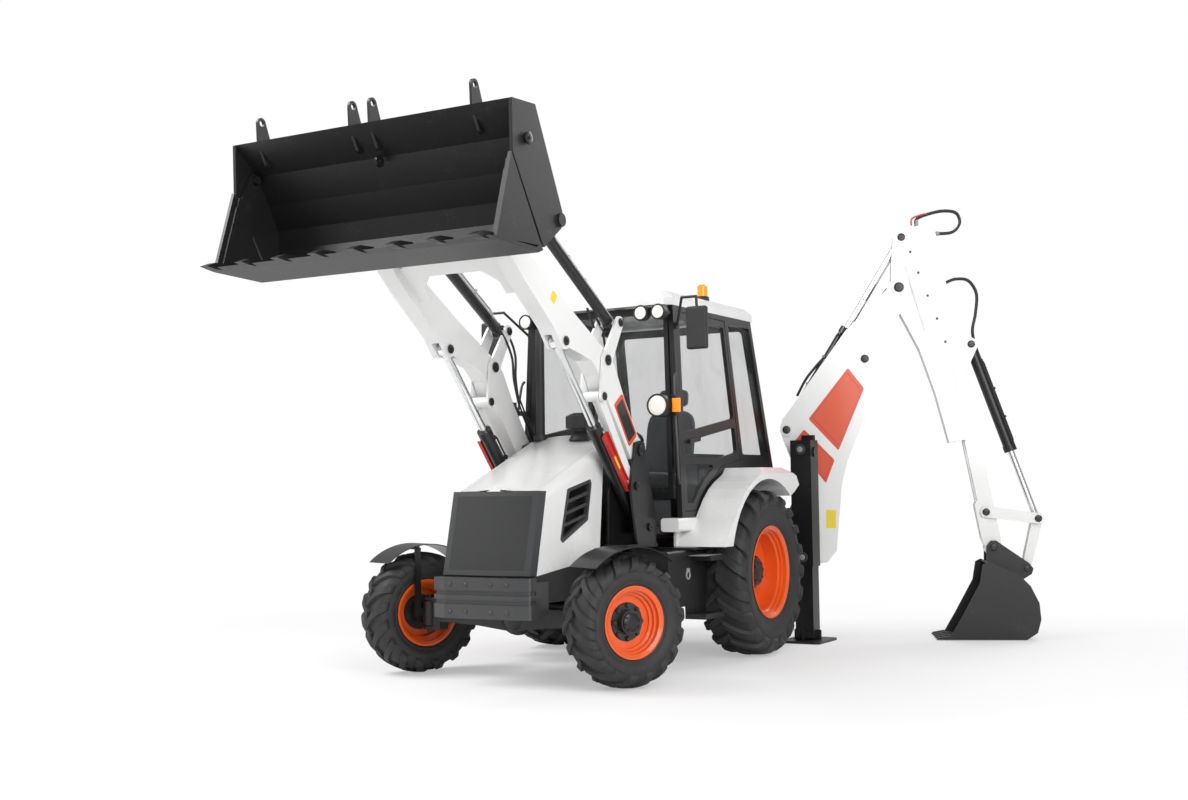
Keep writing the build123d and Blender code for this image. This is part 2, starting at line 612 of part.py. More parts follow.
def front_weight():
    """Ribbed front weight: stepped layers of one rounded plan."""
    body = Part()
    # low, high, setback of each layer
    layers = ((WEIGHT_LOW, 600, 0), (600, 632, 12), (632, 668, 0), (668, 700, 12),
              (700, WEIGHT_HIGH, 0))
    for low, high, setback in layers:
        half = WEIGHT_HALF - setback
        front = WEIGHT_FRONT - setback
        plan = make_face(Polyline((2596, -half), (front - 40, -half), (front, -half * 0.7),
                                  (front, half * 0.7), (front - 40, half), (2596, half),
                                  close=True))
        plan = fillet(plan.vertices().sort_by(Axis.X)[2:], 30)
        body += Pos(0, 0, low) * extrude(plan, amount=high - low)
    hooks = block(2430, 2600, RAIL_Y + SEAT_GAP, WEIGHT_HALF - 4, 520, 760)
    return body + both(hooks)


def stack_and_cleaner():
    """Exhaust stack and the air cleaner's bowl on the hood."""
    slope = (HOOD_REAR_TOP[1] - HOOD_FRONT_TOP[1]) / (HOOD_FRONT_TOP[0] - HOOD_REAR_TOP[0])

    def hood_z(x):
        return HOOD_FRONT_TOP[1] + (HOOD_FRONT_TOP[0] - x) * slope

    stack_x, stack_y, bowl_x, bowl_y = 1440.0, -250.0, 1480.0, 150.0
    foot = hood_z(stack_x) - 26
    stack = Pos(stack_x, stack_y, foot) * Cylinder(36, 2740 - foot, align=BASE)
    stack -= Pos(stack_x, stack_y, foot + 40) * Cylinder(31, 2800 - foot, align=BASE)
    stack += Pos(stack_x, stack_y, foot) * Cylinder(60, 42, align=BASE)
    foot = hood_z(bowl_x) - 18
    bowl = Pos(bowl_x, bowl_y, foot) * Cone(95, 55, 70, align=BASE)
    bowl += Pos(bowl_x, bowl_y, foot + 70) * Cylinder(60, 24, align=BASE)
    bowl += Pos(bowl_x, bowl_y, foot + 94) * Cylinder(116, 96, align=BASE)
    bowl += Pos(bowl_x, bowl_y, foot + 190) * Cone(116, 60, 26, align=BASE)
    solid = loft([hood_section(1300, -SEAT_GAP), hood_section(1700, -SEAT_GAP)], ruled=True)
    return [stack - solid, bowl - solid]


def side_tanks():
    """Tank and steps on each side between the wheels."""
    inner = ARM_Y - ARM_T / 2 - SIDE_GAP + SEAT_GAP
    tank = block(725, 1400, inner, 880, 490, 930)
    tank = fillet(tank.edges().filter_by(Axis.X).sort_by(Axis.Y)[-1:], 20)
    body = tank + block(725, 1050, inner, 930, 930, 950)
    # length and underside of each step
    for length, low in ((355, 390), (240, 845)):
        step = block(745, 745 + length, 870, 1050, low, low + 40)
        body += step - block(757, 733 + length, 890, 1038, low - 1, low + 30)
    body += block(745, 1100, 870, 882, 390, 500)
    return both(body)


# ================================================================ cab
def cab_side_plane():
    """Plane of the left cab side: local x forward, local y up the leaning side."""
    lean = atan2(CAB_HALF_LOW - CAB_HALF_TOP, CAB_TOP_Z - CAB_SILL_Z)
    return Plane(origin=(0, CAB_HALF_LOW, CAB_SILL_Z), x_dir=(1, 0, 0),
                 z_dir=(0, -cos(lean), -sin(lean)))


def up(z):
    """Height along the leaning cab side of a level z."""
    lean = atan2(CAB_HALF_LOW - CAB_HALF_TOP, CAB_TOP_Z - CAB_SILL_Z)
    return (z - CAB_SILL_Z) / cos(lean)


def raised(points):
    """(x, z) points moved to the leaning side's own height."""
    return [(x, up(z)) for x, z in points]


DOOR_OUTLINE = [(868, 1240), (665, 1240), (560, 1352), (430, 1444), (260, 1530), (150, 1604),
                (-262, 1668), (-92, 2880), (842, 2880)]
DOOR_TOP_PANE = [(808, 1880), (-176, 2030), (-66, 2822), (786, 2822)]
DOOR_MID_PANE = [(808, 1800), (812, 1680), (130, 1680), (-205, 1732), (-182, 1950)]
DOOR_LOW_PANE = [(812, 1620), (815, 1300), (704, 1300), (604, 1402), (476, 1494), (312, 1578),
                 (270, 1620)]
# lower edge of the cab's side, clear of the tyre and its arch
CAB_LOW_EDGE = [(600, CAB_SILL_Z), (440, 1335), (232, 1440), (60, FENDER_TOP)]
QUARTER_PANE = [(-322, 1715), (-900, 1715), (-616, 2860), (-160, 2860)]


def shrink(points, amount):
    """Convex outline moved in by an amount on every side."""
    face = make_face(Polyline(*points, close=True))
    return offset(face, amount=-amount, kind=Kind.INTERSECTION)


def cab_frame():
    """Black cab pillars and rails with door, quarter, front and rear openings."""
    plane = cab_side_plane()
    lean = atan2(CAB_HALF_LOW - CAB_HALF_TOP, CAB_TOP_Z - CAB_SILL_Z)
    lift = CAB_WALL * sin(lean) + SEAT_GAP
    low_edge = [(x, z + lift) for x, z in CAB_LOW_EDGE]
    outline = [(CAB_FRONT, CAB_SILL_Z + lift), *low_edge,
               (CAB_REAR_LOW, FENDER_TOP + lift),
               (CAB_REAR_TOP, CAB_TOP_Z - SEAT_GAP), (900, CAB_TOP_Z - SEAT_GAP)]
    side = slab(plane, raised(outline), 0, CAB_WALL)
    opening = offset(make_face(Polyline(*raised(DOOR_OUTLINE), close=True)), amount=DOOR_GAP,
                     kind=Kind.INTERSECTION)
    side -= plane * (Pos(0, 0, -10) * extrude(opening, amount=CAB_WALL + 20))
    side -= slab(plane, raised(QUARTER_PANE), -10, CAB_WALL + 10, 25)
    body = both(side)
    front = [(-690, 1340), (690, 1340), (655, CAB_TOP_Z - 10), (-655, CAB_TOP_Z - 10)]
    front_plane = Plane(origin=(CAB_FRONT - 8, 0, 0), x_dir=(0, 1, 0), z_dir=(1, 0, 0))
    header = slab(front_plane, front, -40, 0)
    header -= slab(front_plane, [(-645, 1400), (645, 1400), (620, 2860), (-620, 2860)], -50, 10, 40)
    body += header
    rear_dir = Vector(CAB_REAR_TOP - CAB_REAR_LOW, 0, CAB_TOP_Z - FENDER_TOP)
    rear_plane = Plane(origin=(CAB_REAR_LOW + 4, 0, FENDER_TOP + SEAT_GAP),
                       x_dir=(0, -1, 0), z_dir=Vector(0, -1, 0).cross(rear_dir))
    length = rear_dir.length - 8
    rear = slab(rear_plane, [(-735, 0), (735, 0), (680, length), (-680, length)], -45, -5)
    rear -= slab(rear_plane, [(-670, 90), (670, 90), (620, length - 70), (-620, length - 70)],
                 -60, 10, 40)
    return body + rear


def cab_windows():
    """Front, rear and quarter window panes."""
    plane = cab_side_plane()
    quarter = fillet(shrink(raised(QUARTER_PANE), SEAT_GAP).vertices(), 25)
    quarter = extrude(quarter, amount=GLASS_T)
    panes = both(plane * (Pos(0, 0, 18) * quarter))
    front_plane = Plane(origin=(CAB_FRONT - 30, 0, 0), x_dir=(0, 1, 0), z_dir=(1, 0, 0))
    front = shrink([(-645, 1400), (645, 1400), (620, 2860), (-620, 2860)], SEAT_GAP)
    front = fillet(front.vertices(), 40)
    panes += front_plane * extrude(front, amount=GLASS_T)
    rear_dir = Vector(CAB_REAR_TOP - CAB_REAR_LOW, 0, CAB_TOP_Z - FENDER_TOP)
    rear_plane = Plane(origin=(CAB_REAR_LOW + 4, 0, FENDER_TOP + SEAT_GAP),
                       x_dir=(0, -1, 0), z_dir=Vector(0, -1, 0).cross(rear_dir))
    length = rear_dir.length - 8
    rear = shrink([(-670, 90), (670, 90), (620, length - 70), (-620, length - 70)], SEAT_GAP)
    rear = fillet(rear.vertices(), 40)
    panes += rear_plane * (Pos(0, 0, -30) * extrude(rear, amount=GLASS_T))
    return panes


def door():
    """Left door frame with its mid-rail, three window openings and a handle."""
    plane = cab_side_plane()
    body = slab(plane, raised(DOOR_OUTLINE), 2, CAB_WALL - 8)
    for pane in (DOOR_TOP_PANE, DOOR_MID_PANE, DOOR_LOW_PANE):
        body -= slab(plane, raised(pane), -10, CAB_WALL + 10, 22)
    handle = slab(plane, raised([(560, 1846), (760, 1822), (760, 1790), (560, 1814)]), -26, 4, 6)
    return body + handle


def door_glass():
    """Panes of the left door."""
    plane = cab_side_plane()
    panes = Part()
    for pane in (DOOR_TOP_PANE, DOOR_MID_PANE, DOOR_LOW_PANE):
        face = fillet(shrink(raised(pane), SEAT_GAP).vertices(), 22)
        panes += plane * (Pos(0, 0, 16) * extrude(face, amount=GLASS_T))
    return panes


def cab_roof():
    """Roof with a crowned top and a front lip for the lamps."""
    plan = [(985, -640), (985, 640), (900, 700), (-700, 700), (-780, 620), (-780, -620),
            (-700, -700), (900, -700)]
    face = fillet(make_face(Polyline(*plan, close=True)).vertices(), 40)
    low = Pos(0, 0, CAB_TOP_Z) * extrude(face, amount=62)
    top = Pos(0, 0, CAB_TOP_Z + 62) * extrude(face, amount=58, taper=48)
    return low + top


def cab_floor():
    """Cab tub: floor, cowl, inner rear walls and the driver's consoles."""
    body = block(-640, 1050, -615, 615, 1060, 1110)
    body += block(1050, 1180, -400, 400, 1060, 1110)
    body += block(1130, 1180, -400, 400, 1110, 1560)
    body += block(905, 1180, -400, 400, 1110, 1150)
    body += both(block(-900, 320, 640, 675, 1110, FENDER_TOP - 6))
    body += block(-900, -640, -675, 675, 1500, 1540)
    body += block(-660, -620, -675, 675, 1060, 1540)
    body += block(870, 905, -640, 640, 1060, 1330)
    body += both(block(280, 905, 600, 640, 1060, 1150))
    body += both(block(-420, 120, 330, 520, 1110, 1720))
    return body


def seat():
    """Driver's seat on its pedestal."""
    base = block(-250, 130, -200, 200, 1110 + SEAT_GAP, 1420)
    cushion = fillet(block(-280, 230, -245, 245, 1420, 1560).edges(), 40)
    back = block(0, 120, -235, 235, 0, 620)
    back = fillet(back.edges(), 40)
    back = Pos(-390, 0, 1530) * (Rot(0, -10, 0) * back)
    head = fillet(block(-520, -430, -140, 140, 2170, 2330).edges(), 30)
    stem = block(-485, -445, -30, 30, 2080, 2200)
    return base + cushion + back + head + stem


def steering_wheel():
    """Steering column with its wheel and dash."""
    column = rod((750, 0, 1409), (552, 0, 1868), 45)
    column += block(700, 868, -190, 190, 1105, 1560)
    tilt = Plane(origin=(550, 0, 1872), z_dir=(-310, 0, 720))
    wheel_ring = Torus(190, 15)
    spokes = Part()
    for angle in (90, 210, 330):
        spokes += Rot(0, 0, angle) * block(0, 186, -14, 14, -6, 6)
    return column + tilt * (wheel_ring + spokes + Cylinder(48, 40))


def fenders():
    """White rear fenders with their arch, and the sill below each door."""
    outline = [(905, 952), (740, 1140), (650, 1236), (560, 1330), (450, 1413), (330, 1476),
               (200, 1525), (60, FENDER_TOP), (-380, FENDER_TOP), (-610, 1520), (-668, 1440),
               (-560, 1380), (600, 952)]
    solid = side_plate(outline, 700, FENDER_OUT)
    bevel = Plane(origin=(0, FENDER_OUT, FENDER_TOP), x_dir=(0, 1, 0), z_dir=(1, 0, 0))
    solid -= slab(bevel, [(-50, 1), (1, 1), (1, -50)], -800, 1000)
    centre = (0, REAR_WHEEL["tyre_r"])
    solid -= side_pin(centre, FENDER_R, CAB_HALF_LOW + 7, FENDER_OUT + 10)
    solid -= side_pin(centre, FENDER_R - 40, 600, FENDER_OUT)
    cab_room = [(950, CAB_SILL_Z), *CAB_LOW_EDGE, (-1100, FENDER_TOP), (-1100, 2000), (950, 2000)]
    solid -= side_plate(cab_room, 600, CAB_HALF_LOW + 7)
    inner = side_plate([(905, 952), (905, CAB_SILL_Z), *CAB_LOW_EDGE,
                        (-640, FENDER_TOP), (-650, 1440), (-560, 1100), (600, 952)], 680, 702)
    sill = fillet(block(690, 1050, 640, 800, 1075, CAB_SILL_Z).edges().filter_by(Axis.X), 25)
    return both(solid + inner + sill)


def lamps():
    """Headlamp pair on stalks and four work lamps under the roof's lip."""
    body = Part()
    # x, y, z, radius, depth of each left lamp
    for x, y, z, r, depth in ((1215, 735, 2085, 92, 90), (1010, 640, 2862, 62, 70),
                              (1010, 480, 2862, 62, 70)):
        body += Pos(x, y, z) * (Rot(0, 90, 0) * Cylinder(r, depth))
    return both(body)


def lamp_brackets():
    """Stalks that carry the headlamps and the work lamps."""
    stalk = block(CAB_FRONT - 25, 1170 - SEAT_GAP, 690, 720, 2060, 2100)
    stalk += block(1120, 1170 - SEAT_GAP, 690, 850, 2000, 2170)
    bar = block(CAB_FRONT - 6, 975 - SEAT_GAP, 420, 690, 2850, 2875)
    return both(stalk + bar)


def beacon():
    """Amber beacon on the roof."""
    z = CAB_TOP_Z + 120 + SEAT_GAP
    body = Pos(60, 570, z) * Cylinder(52, 42, align=BASE)
    body += Pos(60, 570, z + 42) * Cylinder(44, 90, align=BASE)
    return body + Pos(60, 570, z + 132) * Cone(44, 30, 16, align=BASE)


def mirrors():
    """Door mirrors on bent tubes."""
    head = fillet(block(1022, 1078, 905, 1085, 2535, 2880).edges(), 18)
    pad = slab(cab_side_plane(), raised([(840, 2735), (884, 2735), (884, 2785), (840, 2785)]),
               -14, -SEAT_GAP)
    arm = pad + rod((862, 722, 2760), (1050, 860, 2960), 11)
    arm += rod((1050, 860, 2960), (1050, 990, 2960), 11)
    arm += rod((1050, 990, 2960), (1050, 995, 2860), 11)
    arm += Pos(1050, 860, 2960) * Sphere(11) + Pos(1050, 990, 2960) * Sphere(11)
    return both(head + arm)


# ================================================================ loader
def folded_eye():
    """Tilt eye's place against the arms, lowered with the bucket rolled right back."""
    turn = radians(LIFT_TRAVEL + ROLL_BACK)
    out, up = tilt_eye()[0] - ARM_TIP[0], tilt_eye()[1] - ARM_TIP[1]
    return (ARM_TIP[0] + out * cos(turn) - up * sin(turn),
            ARM_TIP[1] + out * sin(turn) + up * cos(turn))


def loader_arms():
    """Pair of arms joined by an arched plate behind the bucket."""
    outline = [(1269, 1769), (1530, 2120), (1690, 2385), (1801, 2474), (2300, 2740),
               (2900, 3100), (3355, 3418), (3440, 3325), (2960, 2900), (2570, 2600),
               (2470, 2480), (2353, 2466), (2190, 2433), (2040, 2398), (1915, 2292),
               (1814, 2123), (1442, 1659)]
    low, high = ARM_Y - ARM_T / 2, ARM_Y + ARM_T / 2
    arm = side_plate(outline, low, high)
    arm += side_pin(ARM_PIN, 80, low, high) + side_pin(ARM_TIP, 62, low, high)
    arm += side_pin(LIFT_EYE, 64, low, high) + side_pin(LEVER_PIN, 75, low, high)
    arm -= side_pin(LIFT_EYE, 120, LIFT_Y - 34, LIFT_Y + 34)
    arm += side_pin(LIFT_EYE, PIN_R, low - 8, LIFT_Y - 34) + side_pin(LIFT_EYE, PIN_R, LIFT_Y + 34,
                                                                     high + 8)
    arm -= side_pin(ARM_PIN, PIN_R + PIN_GAP, low - 20, high + 20)
    arm -= side_pin(LEVER_PIN, PIN_R + PIN_GAP, low - 20, high + 20)
    arm -= side_pin(ARM_TIP, PIN_R + PIN_GAP, low - 20, high + 20)
    fold = folded_eye()
    arm -= side_pin(fold, FOLD_EAR_R, low - 1, high + 1)
    direction = Vector(ARM_TIP[0] - 2570, 0, ARM_TIP[1] - 2660)
    plane = Plane(origin=(2840, 0, 2890), x_dir=(0, 1, 0),
                  z_dir=Vector(0, 1, 0).cross(direction))
    half = low + 2
    plate = slab(plane, [(-half, -60), (half, -60), (half, 420), (-half, 420)], -PLATE / 2,
                 PLATE / 2)
    for edge in (-half - 1, half - FOLD_DEPTH):
        plate -= side_pin(fold, FOLD_PLATE_R, edge, edge + FOLD_DEPTH + 1)
    arch = slab(plane, [(-330, -200), (330, -200), (330, 60), (230, 170), (-230, 170),
                        (-330, 60)], -60, 60, 60)
    return both(arm) + (plate - arch)


def tilt_levers():
    """Levelling levers: two plates on each arm, with their three pins."""
    body = Part()
    inner = ARM_Y - ARM_T / 2 - SIDE_GAP - LEVER_T
    outer = ARM_Y + ARM_T / 2 + SIDE_GAP
    for low in (inner, outer):
        body += side_strap(LEVER_TOP, 50, LEVER_PIN, 68, low, low + LEVER_T)
        body += side_strap(LEVER_PIN, 68, LEVER_LOW, 44, low, low + LEVER_T)
    for point in (LEVER_TOP, LEVER_PIN, LEVER_LOW):
        body += side_pin(point, PIN_R, inner - 6, outer + LEVER_T + 6)
    body += side_pin(LEVER_LOW, 40, inner + LEVER_T, LINK_Y - LINK_T / 2 - 3)
    return both(body)


def levelling_links():
    """Links from the towers to the levers' lower pins."""
    base = link_base()
    low, high = LINK_Y - LINK_T / 2, LINK_Y + LINK_T / 2
    body = side_strap(base, 42, LEVER_LOW, 42, low, high)
    for point in (base, LEVER_LOW):
        body -= side_pin(point, PIN_R + PIN_GAP, low - 5, high + 5)
    return both(body)


def lift_plane():
    """Plane of the left lift cylinder."""
    return Plane(origin=(0, LIFT_Y, 0), x_dir=(1, 0, 0), z_dir=(0, -1, 0))


def lift_barrels():
    """Lift cylinder barrels."""
    return both(barrel(lift_plane(), LIFT_BASE, LIFT_EYE, LIFT_BARREL, LIFT_BORE_R, LIFT_ROD_R,
                       32, PIN_R))


def lift_rods():
    """Lift cylinder rods."""
    return both(piston_rod(lift_plane(), LIFT_BASE, LIFT_EYE, LIFT_BARREL, LIFT_ROD_R,
                           LIFT_BORE_R, 28, PIN_R, 120))


def tilt_eye():
    """Tilt cylinder's rod eye on the bucket: the linkage is a parallelogram."""
    return (ARM_TIP[0] + LEVER_TOP[0] - LEVER_PIN[0], ARM_TIP[1] + LEVER_TOP[1] - LEVER_PIN[1])


def arm_plane():
    """Middle plane of the left arm."""
    return Plane(origin=(0, ARM_Y, 0), x_dir=(1, 0, 0), z_dir=(0, -1, 0))


def tilt_barrels():
    """Tilt cylinder barrels."""
    return both(barrel(arm_plane(), LEVER_TOP, tilt_eye(), TILT_BARREL, TILT_BORE_R, TILT_ROD_R,
                       34, PIN_R))


def tilt_rods():
    """Tilt cylinder rods."""
    return both(piston_rod(arm_plane(), LEVER_TOP, tilt_eye(), TILT_BARREL, TILT_ROD_R,
                           TILT_BORE_R, 28, PIN_R, 325))


def carrier_pins():
    """Pins at the arm tips, which stay level as the arms rise."""
    reach = ARM_T / 2 + SIDE_GAP + LEVER_T + 12
    return both(side_pin(ARM_TIP, PIN_R, ARM_Y - reach, ARM_Y + reach))


def loader_bucket():
    """Fixed half of the loader bucket: mouldboard, sides, pivot ears and fork lugs."""
    back = [BUCKET_LIP, BUCKET_BACK_TOP, BUCKET_BACK_LOW, BUCKET_HEEL]
    front = [(3650, 3000), (3575, 3075), (3545, 3190), (3560, 3330), (3650, 3500), (3780, 3690)]
    inside = BUCKET_HALF - BUCKET_SIDE_T
    body = side_plate(back + front, -inside, inside)
    cheek = [BUCKET_LIP, BUCKET_BACK_TOP, (3400, 3245), (3400, 3150), BUCKET_HEEL, (3655, 3010),
             (3985, 3530)]
    body += both(side_plate(cheek, inside, BUCKET_HALF))
    body += both(side_pin(BUCKET_BACK_LOW, 44, inside, BUCKET_HALF + 16))
    body += both(side_pin(CLAM_PIN, 30, inside - 60, BUCKET_HALF + 14))
    eye = tilt_eye()
    for offset_y in (-1, 1):
        centre = ARM_Y + offset_y * (ARM_T / 2 + SIDE_GAP + LEVER_T / 2)
        ear = [(3640, 3760), (eye[0] + 30, eye[1] + 62), (eye[0] - 62, eye[1] - 20),
               (ARM_TIP[0] - 66, ARM_TIP[1] - 20), (ARM_TIP[0] + 20, ARM_TIP[1] - 74),
               (3500, 3230), (3600, 3400)]
        plate = side_plate(ear, centre - LEVER_T / 2, centre + LEVER_T / 2, 8)
        plate -= side_plate([(3530, 3200), (3560, 3330), (3650, 3500), (3780, 3710),
                             (3860, 3500), (3700, 3200)], 0, 1000)
        plate += side_pin(eye, 56, centre - LEVER_T / 2, centre + LEVER_T / 2)
        plate += side_pin(ARM_TIP, 60, centre - LEVER_T / 2, centre + LEVER_T / 2)
        plate -= side_pin(ARM_TIP, PIN_R + PIN_GAP, 0, 1000)
        stub = centre - offset_y * LEVER_T / 2
        reach = stub - offset_y * 26
        plate += side_pin(eye, PIN_R + 6, min(stub, reach), max(stub, reach))
        body += both(plate)
    for y in FORK_LUG_Y:
        lug = side_strap(FORK_LUG_HOLE, 40, (3900, 3890), 62, y - 10, y + 10)
        lug += side_strap((3900, 3890), 62, (3850, 3760), 40, y - 10, y + 10)
        body += lug - side_pin(FORK_LUG_HOLE, FORK_LUG_HOLE_R, y - 20, y + 20)
    return body


def bucket_clam():
    """Moving half of the loader bucket: floor, cutting edge, cheeks and teeth."""
    inside = BUCKET_HALF - BUCKET_SIDE_T
    gap = SIDE_GAP
    floor = [(3640 + gap, 2962), (3700, 2940), (CLAM_EDGE[0] - 90, 2958), CLAM_EDGE,
             (CLAM_EDGE[0] - 90, 2984), (3720, 2972), (3672, 3010)]
    body = side_plate(floor, -BUCKET_HALF, BUCKET_HALF)
    cheek = [(3662 + gap, 2990), (4180, 2972), (3998 + gap, 3536)]
    body += both(side_plate(cheek, inside, BUCKET_HALF))
    ear_low, ear_high = inside - BUCKET_SIDE_T - gap, inside - gap
    ear = side_strap(CLAM_PIN, 48, (3930, 3430), 60, ear_low, ear_high)
    ear += side_plate([(3900, 3500), (3985, 3500), (4060, 3200), (4050, 2975), (3800, 2975)],
                      ear_low, ear_high)
    ear += side_plate([(3960, 3440), (4010, 3430), (4150, 2980), (3850, 2980)], ear_low, inside + 1)
    ear -= side_pin(CLAM_PIN, 30 + PIN_GAP, ear_low - 5, ear_high + 5)
    body += both(ear)
    pitch = 2 * (BUCKET_HALF - 70) / (LOADER_TEETH - 1)
    for index in range(LOADER_TEETH):
        y = -BUCKET_HALF + 70 + index * pitch
        tooth = [(4120, 2962), (4262, 2960), (4345, 2972), (4262, 3004), (4130, 3010)]
        body += side_plate(tooth, y - 32, y + 32)
    return body


# ================================================================ digger
def dig_plane():
    """Plane of the digger: local x outwards, local y up, from the swing axis."""
    angle = radians(SWING_REST)
    return Plane(origin=(SWING_X, SWING_Y, 0), x_dir=(cos(angle), sin(angle), 0),
                 z_dir=(sin(angle), -cos(angle), 0))


def rear_frame():
    """Cross rails for the carriage and the stabilisers' outer legs."""
    half = LEG_Y - LEG_W / 2
    front = FRAME_REAR - SEAT_GAP
    body = Part()
    for z in (RAIL_LOW_Z, RAIL_TOP_Z):
        body += block(REAR_PLATE_X + SEAT_GAP, front, -half - 2, half + 2, z, z + RAIL_SIZE)
    body += both(block(REAR_PLATE_X + SEAT_GAP, front, 640, 680, RAIL_LOW_Z + 5, RAIL_TOP_Z + 5))
    body += block(REAR_PLATE_X + SEAT_GAP, front, -500, 500, RAIL_LOW_Z + 180, RAIL_LOW_Z + 420)
    body += both(block(REAR_PLATE_X + SEAT_GAP, front, 330, 380, RAIL_LOW_Z + 5, RAIL_TOP_Z + 5))
    leg = block(LEG_X - LEG_L / 2, LEG_X + LEG_L / 2, LEG_Y - LEG_W / 2, LEG_Y + LEG_W / 2,
                LEG_LOW, LEG_HIGH)
    wall = LEG_WALL
    leg -= block(LEG_X - LEG_L / 2 + wall, LEG_X + LEG_L / 2 - wall, LEG_Y - LEG_W / 2 + wall,
                 LEG_Y + LEG_W / 2 - wall, LEG_LOW - 10, LEG_HIGH - 20)
    leg += rod((LEG_X, LEG_Y + LEG_W / 2 - 1, 1740), (LEG_X, LEG_Y + LEG_W / 2 + 14, 1740), 45)
    leg += block(LEG_X - LEG_L / 2 - 40, LEG_X - LEG_L / 2 + 1, LEG_Y - 60, LEG_Y + 60, 1700, 1900)
    return body + both(leg)


def stabiliser():
    """Left stabiliser: inner leg, pin boss and floor pad."""
    gap = LEG_WALL + SEAT_GAP
    x_half, y_half = LEG_L / 2 - gap, LEG_W / 2 - gap
    leg = block(LEG_X - x_half, LEG_X + x_half, LEG_Y - y_half, LEG_Y + y_half, 40, 1370)
    leg -= block(LEG_X - x_half + 10, LEG_X + x_half - 10, LEG_Y - y_half + 10,
                 LEG_Y + y_half - 10, 60, 1400)
    pad = block(LEG_X - 240, LEG_X + 240, LEG_Y - 190, LEG_Y + 200, 0, 22)
    pad = fillet(pad.edges().filter_by(Axis.Z), 40)
    webs = block(LEG_X - 130, LEG_X + 130, LEG_Y - 8, LEG_Y + 8, 20, 110)
    webs += block(LEG_X - 8, LEG_X + 8, LEG_Y - 130, LEG_Y + 130, 20, 110)
    return leg + pad + webs


def carriage():
    """Side-shift carriage: a plate hooked on the cross rails, with swing lugs."""
    front = REAR_PLATE_X
    half = 240.0
    body = block(front - 24, front, SWING_Y - half, SWING_Y + half, RAIL_LOW_Z - 70,
                 RAIL_TOP_Z + RAIL_SIZE + 50)
    top = RAIL_TOP_Z + RAIL_SIZE + SEAT_GAP
    body += block(front - 1, front + 56, SWING_Y - half, SWING_Y + half, top, top + 44)
    low = RAIL_LOW_Z - SEAT_GAP
    body += block(front - 1, front + 38, SWING_Y - half, SWING_Y + half, low - 44, low)
    for z in (SWING_LUG_LOW, SWING_LUG_HIGH):
        lug = block(SWING_X, front - 10, SWING_Y - 110, SWING_Y + 110, z, z + SWING_LUG_T)
        lug += Pos(SWING_X, SWING_Y, z) * Cylinder(110, SWING_LUG_T, align=BASE)
        bore = Cylinder(KING_PIN_R + PIN_GAP, 2 * SWING_LUG_T, align=BASE)
        body += lug - Pos(SWING_X, SWING_Y, z - 5) * bore
    return body


def kingpost():
    """Swing casting between the carriage's lugs, with plates for the boom."""
    plane = dig_plane()
    low, high = SWING_LUG_LOW + SWING_LUG_T + SIDE_GAP, SWING_LUG_HIGH - SIDE_GAP
    body = Pos(SWING_X, SWING_Y, low) * Cylinder(KING_R, high - low, align=BASE)
    pin_length = SWING_LUG_HIGH + SWING_LUG_T - SWING_LUG_LOW + 16
    body += Pos(SWING_X, SWING_Y, SWING_LUG_LOW - 8) * Cylinder(KING_PIN_R, pin_length, align=BASE)
    outline = [(60, low), (300, 640), (400, 690), (428, 790), (380, 860), (300, 1110),
               (250, high), (60, high)]
    inner = BOOM_HALF + SIDE_GAP
    for side in (-1, 1):
        faces = sorted((side * inner, side * (inner + 26)))
        body += slab(plane, outline, *faces)
    body += slab(plane, [(0, low), (70, low), (70, high), (0, high)], -80, 80)
    body += slab(plane, [(60, low), (95, low), (95, high), (60, high)], -inner - 26, inner + 26)
    for point in (BOOM_FOOT, BOOM_CYL_BASE):
        body += pin(plane, point, FOOT_PIN_R, -inner - 32, inner + 32)
    return body


def boom():
    """Boom: two side plates round a core, open for its two cylinders, with a fork end."""
    plane = dig_plane()
    outline = [(300, 720), (296, 900), (338, 1400), (268, 1619), (170, 1870), (147, 1985),
               (170, 2060), (238, 2146), (775, 2883), (1165, 3262), (1200, 3330), (1250, 3366),
               (1320, 3368), (1368, 3320), (1376, 3250), (1280, 3020), (1032, 2295), (773, 1666),
               (714, 1447), (651, 818), (562, 709), (430, 690)]
    inner = BOOM_HALF - PLATE
    body = slab(plane, outline, -BOOM_HALF, BOOM_HALF)
    lift_room = [(200, 560), (150, 1250), (180, 1340), (265, 1500), (335, 1650), (402, 1800),
                 (485, 1950), (590, 2100), (815, 2555), (832, 2640), (866, 2712), (910, 2758),
                 (985, 2752), (1068, 2660), (990, 2300), (730, 1680), (672, 1447), (608, 830),
                 (500, 600)]
    body -= slab(plane, lift_room, -inner, inner)
    crowd_room = [(40, 1800), (200, 1800), (300, 1880), (331, 1997), (856, 2851), (1027, 3127),
                  (900, 3300), (40, 2300)]
    body -= slab(plane, crowd_room, -inner, inner)
    body -= pin(plane, ELBOW, 270, -inner, inner)
    body += pin(plane, BOOM_FOOT, 90, -BOOM_HALF, BOOM_HALF)
    body -= pin(plane, BOOM_FOOT, FOOT_PIN_R + PIN_GAP, -2 * BOOM_HALF, 2 * BOOM_HALF)
    body += pin(plane, DIPPER_CYL_BASE, DIG_PIN_R, -BOOM_HALF - 12, BOOM_HALF + 12)
    for side in (-1, 1):
        outside = sorted((side * (BOOM_HALF - 1), side * (BOOM_HALF + 12)))
        body += pin(plane, DIPPER_CYL_BASE, 62, *outside)
        body += pin(plane, BOOM_CYL_EYE, 46, *outside)
        body += pin(plane, BOOM_CYL_EYE, FOOT_PIN_R, *sorted((side * (inner + 1), side * 48)))
        body += pin(plane, ELBOW, 70, *outside)
    return body + pin(plane, ELBOW, 36, -BOOM_HALF - 20, BOOM_HALF + 20)


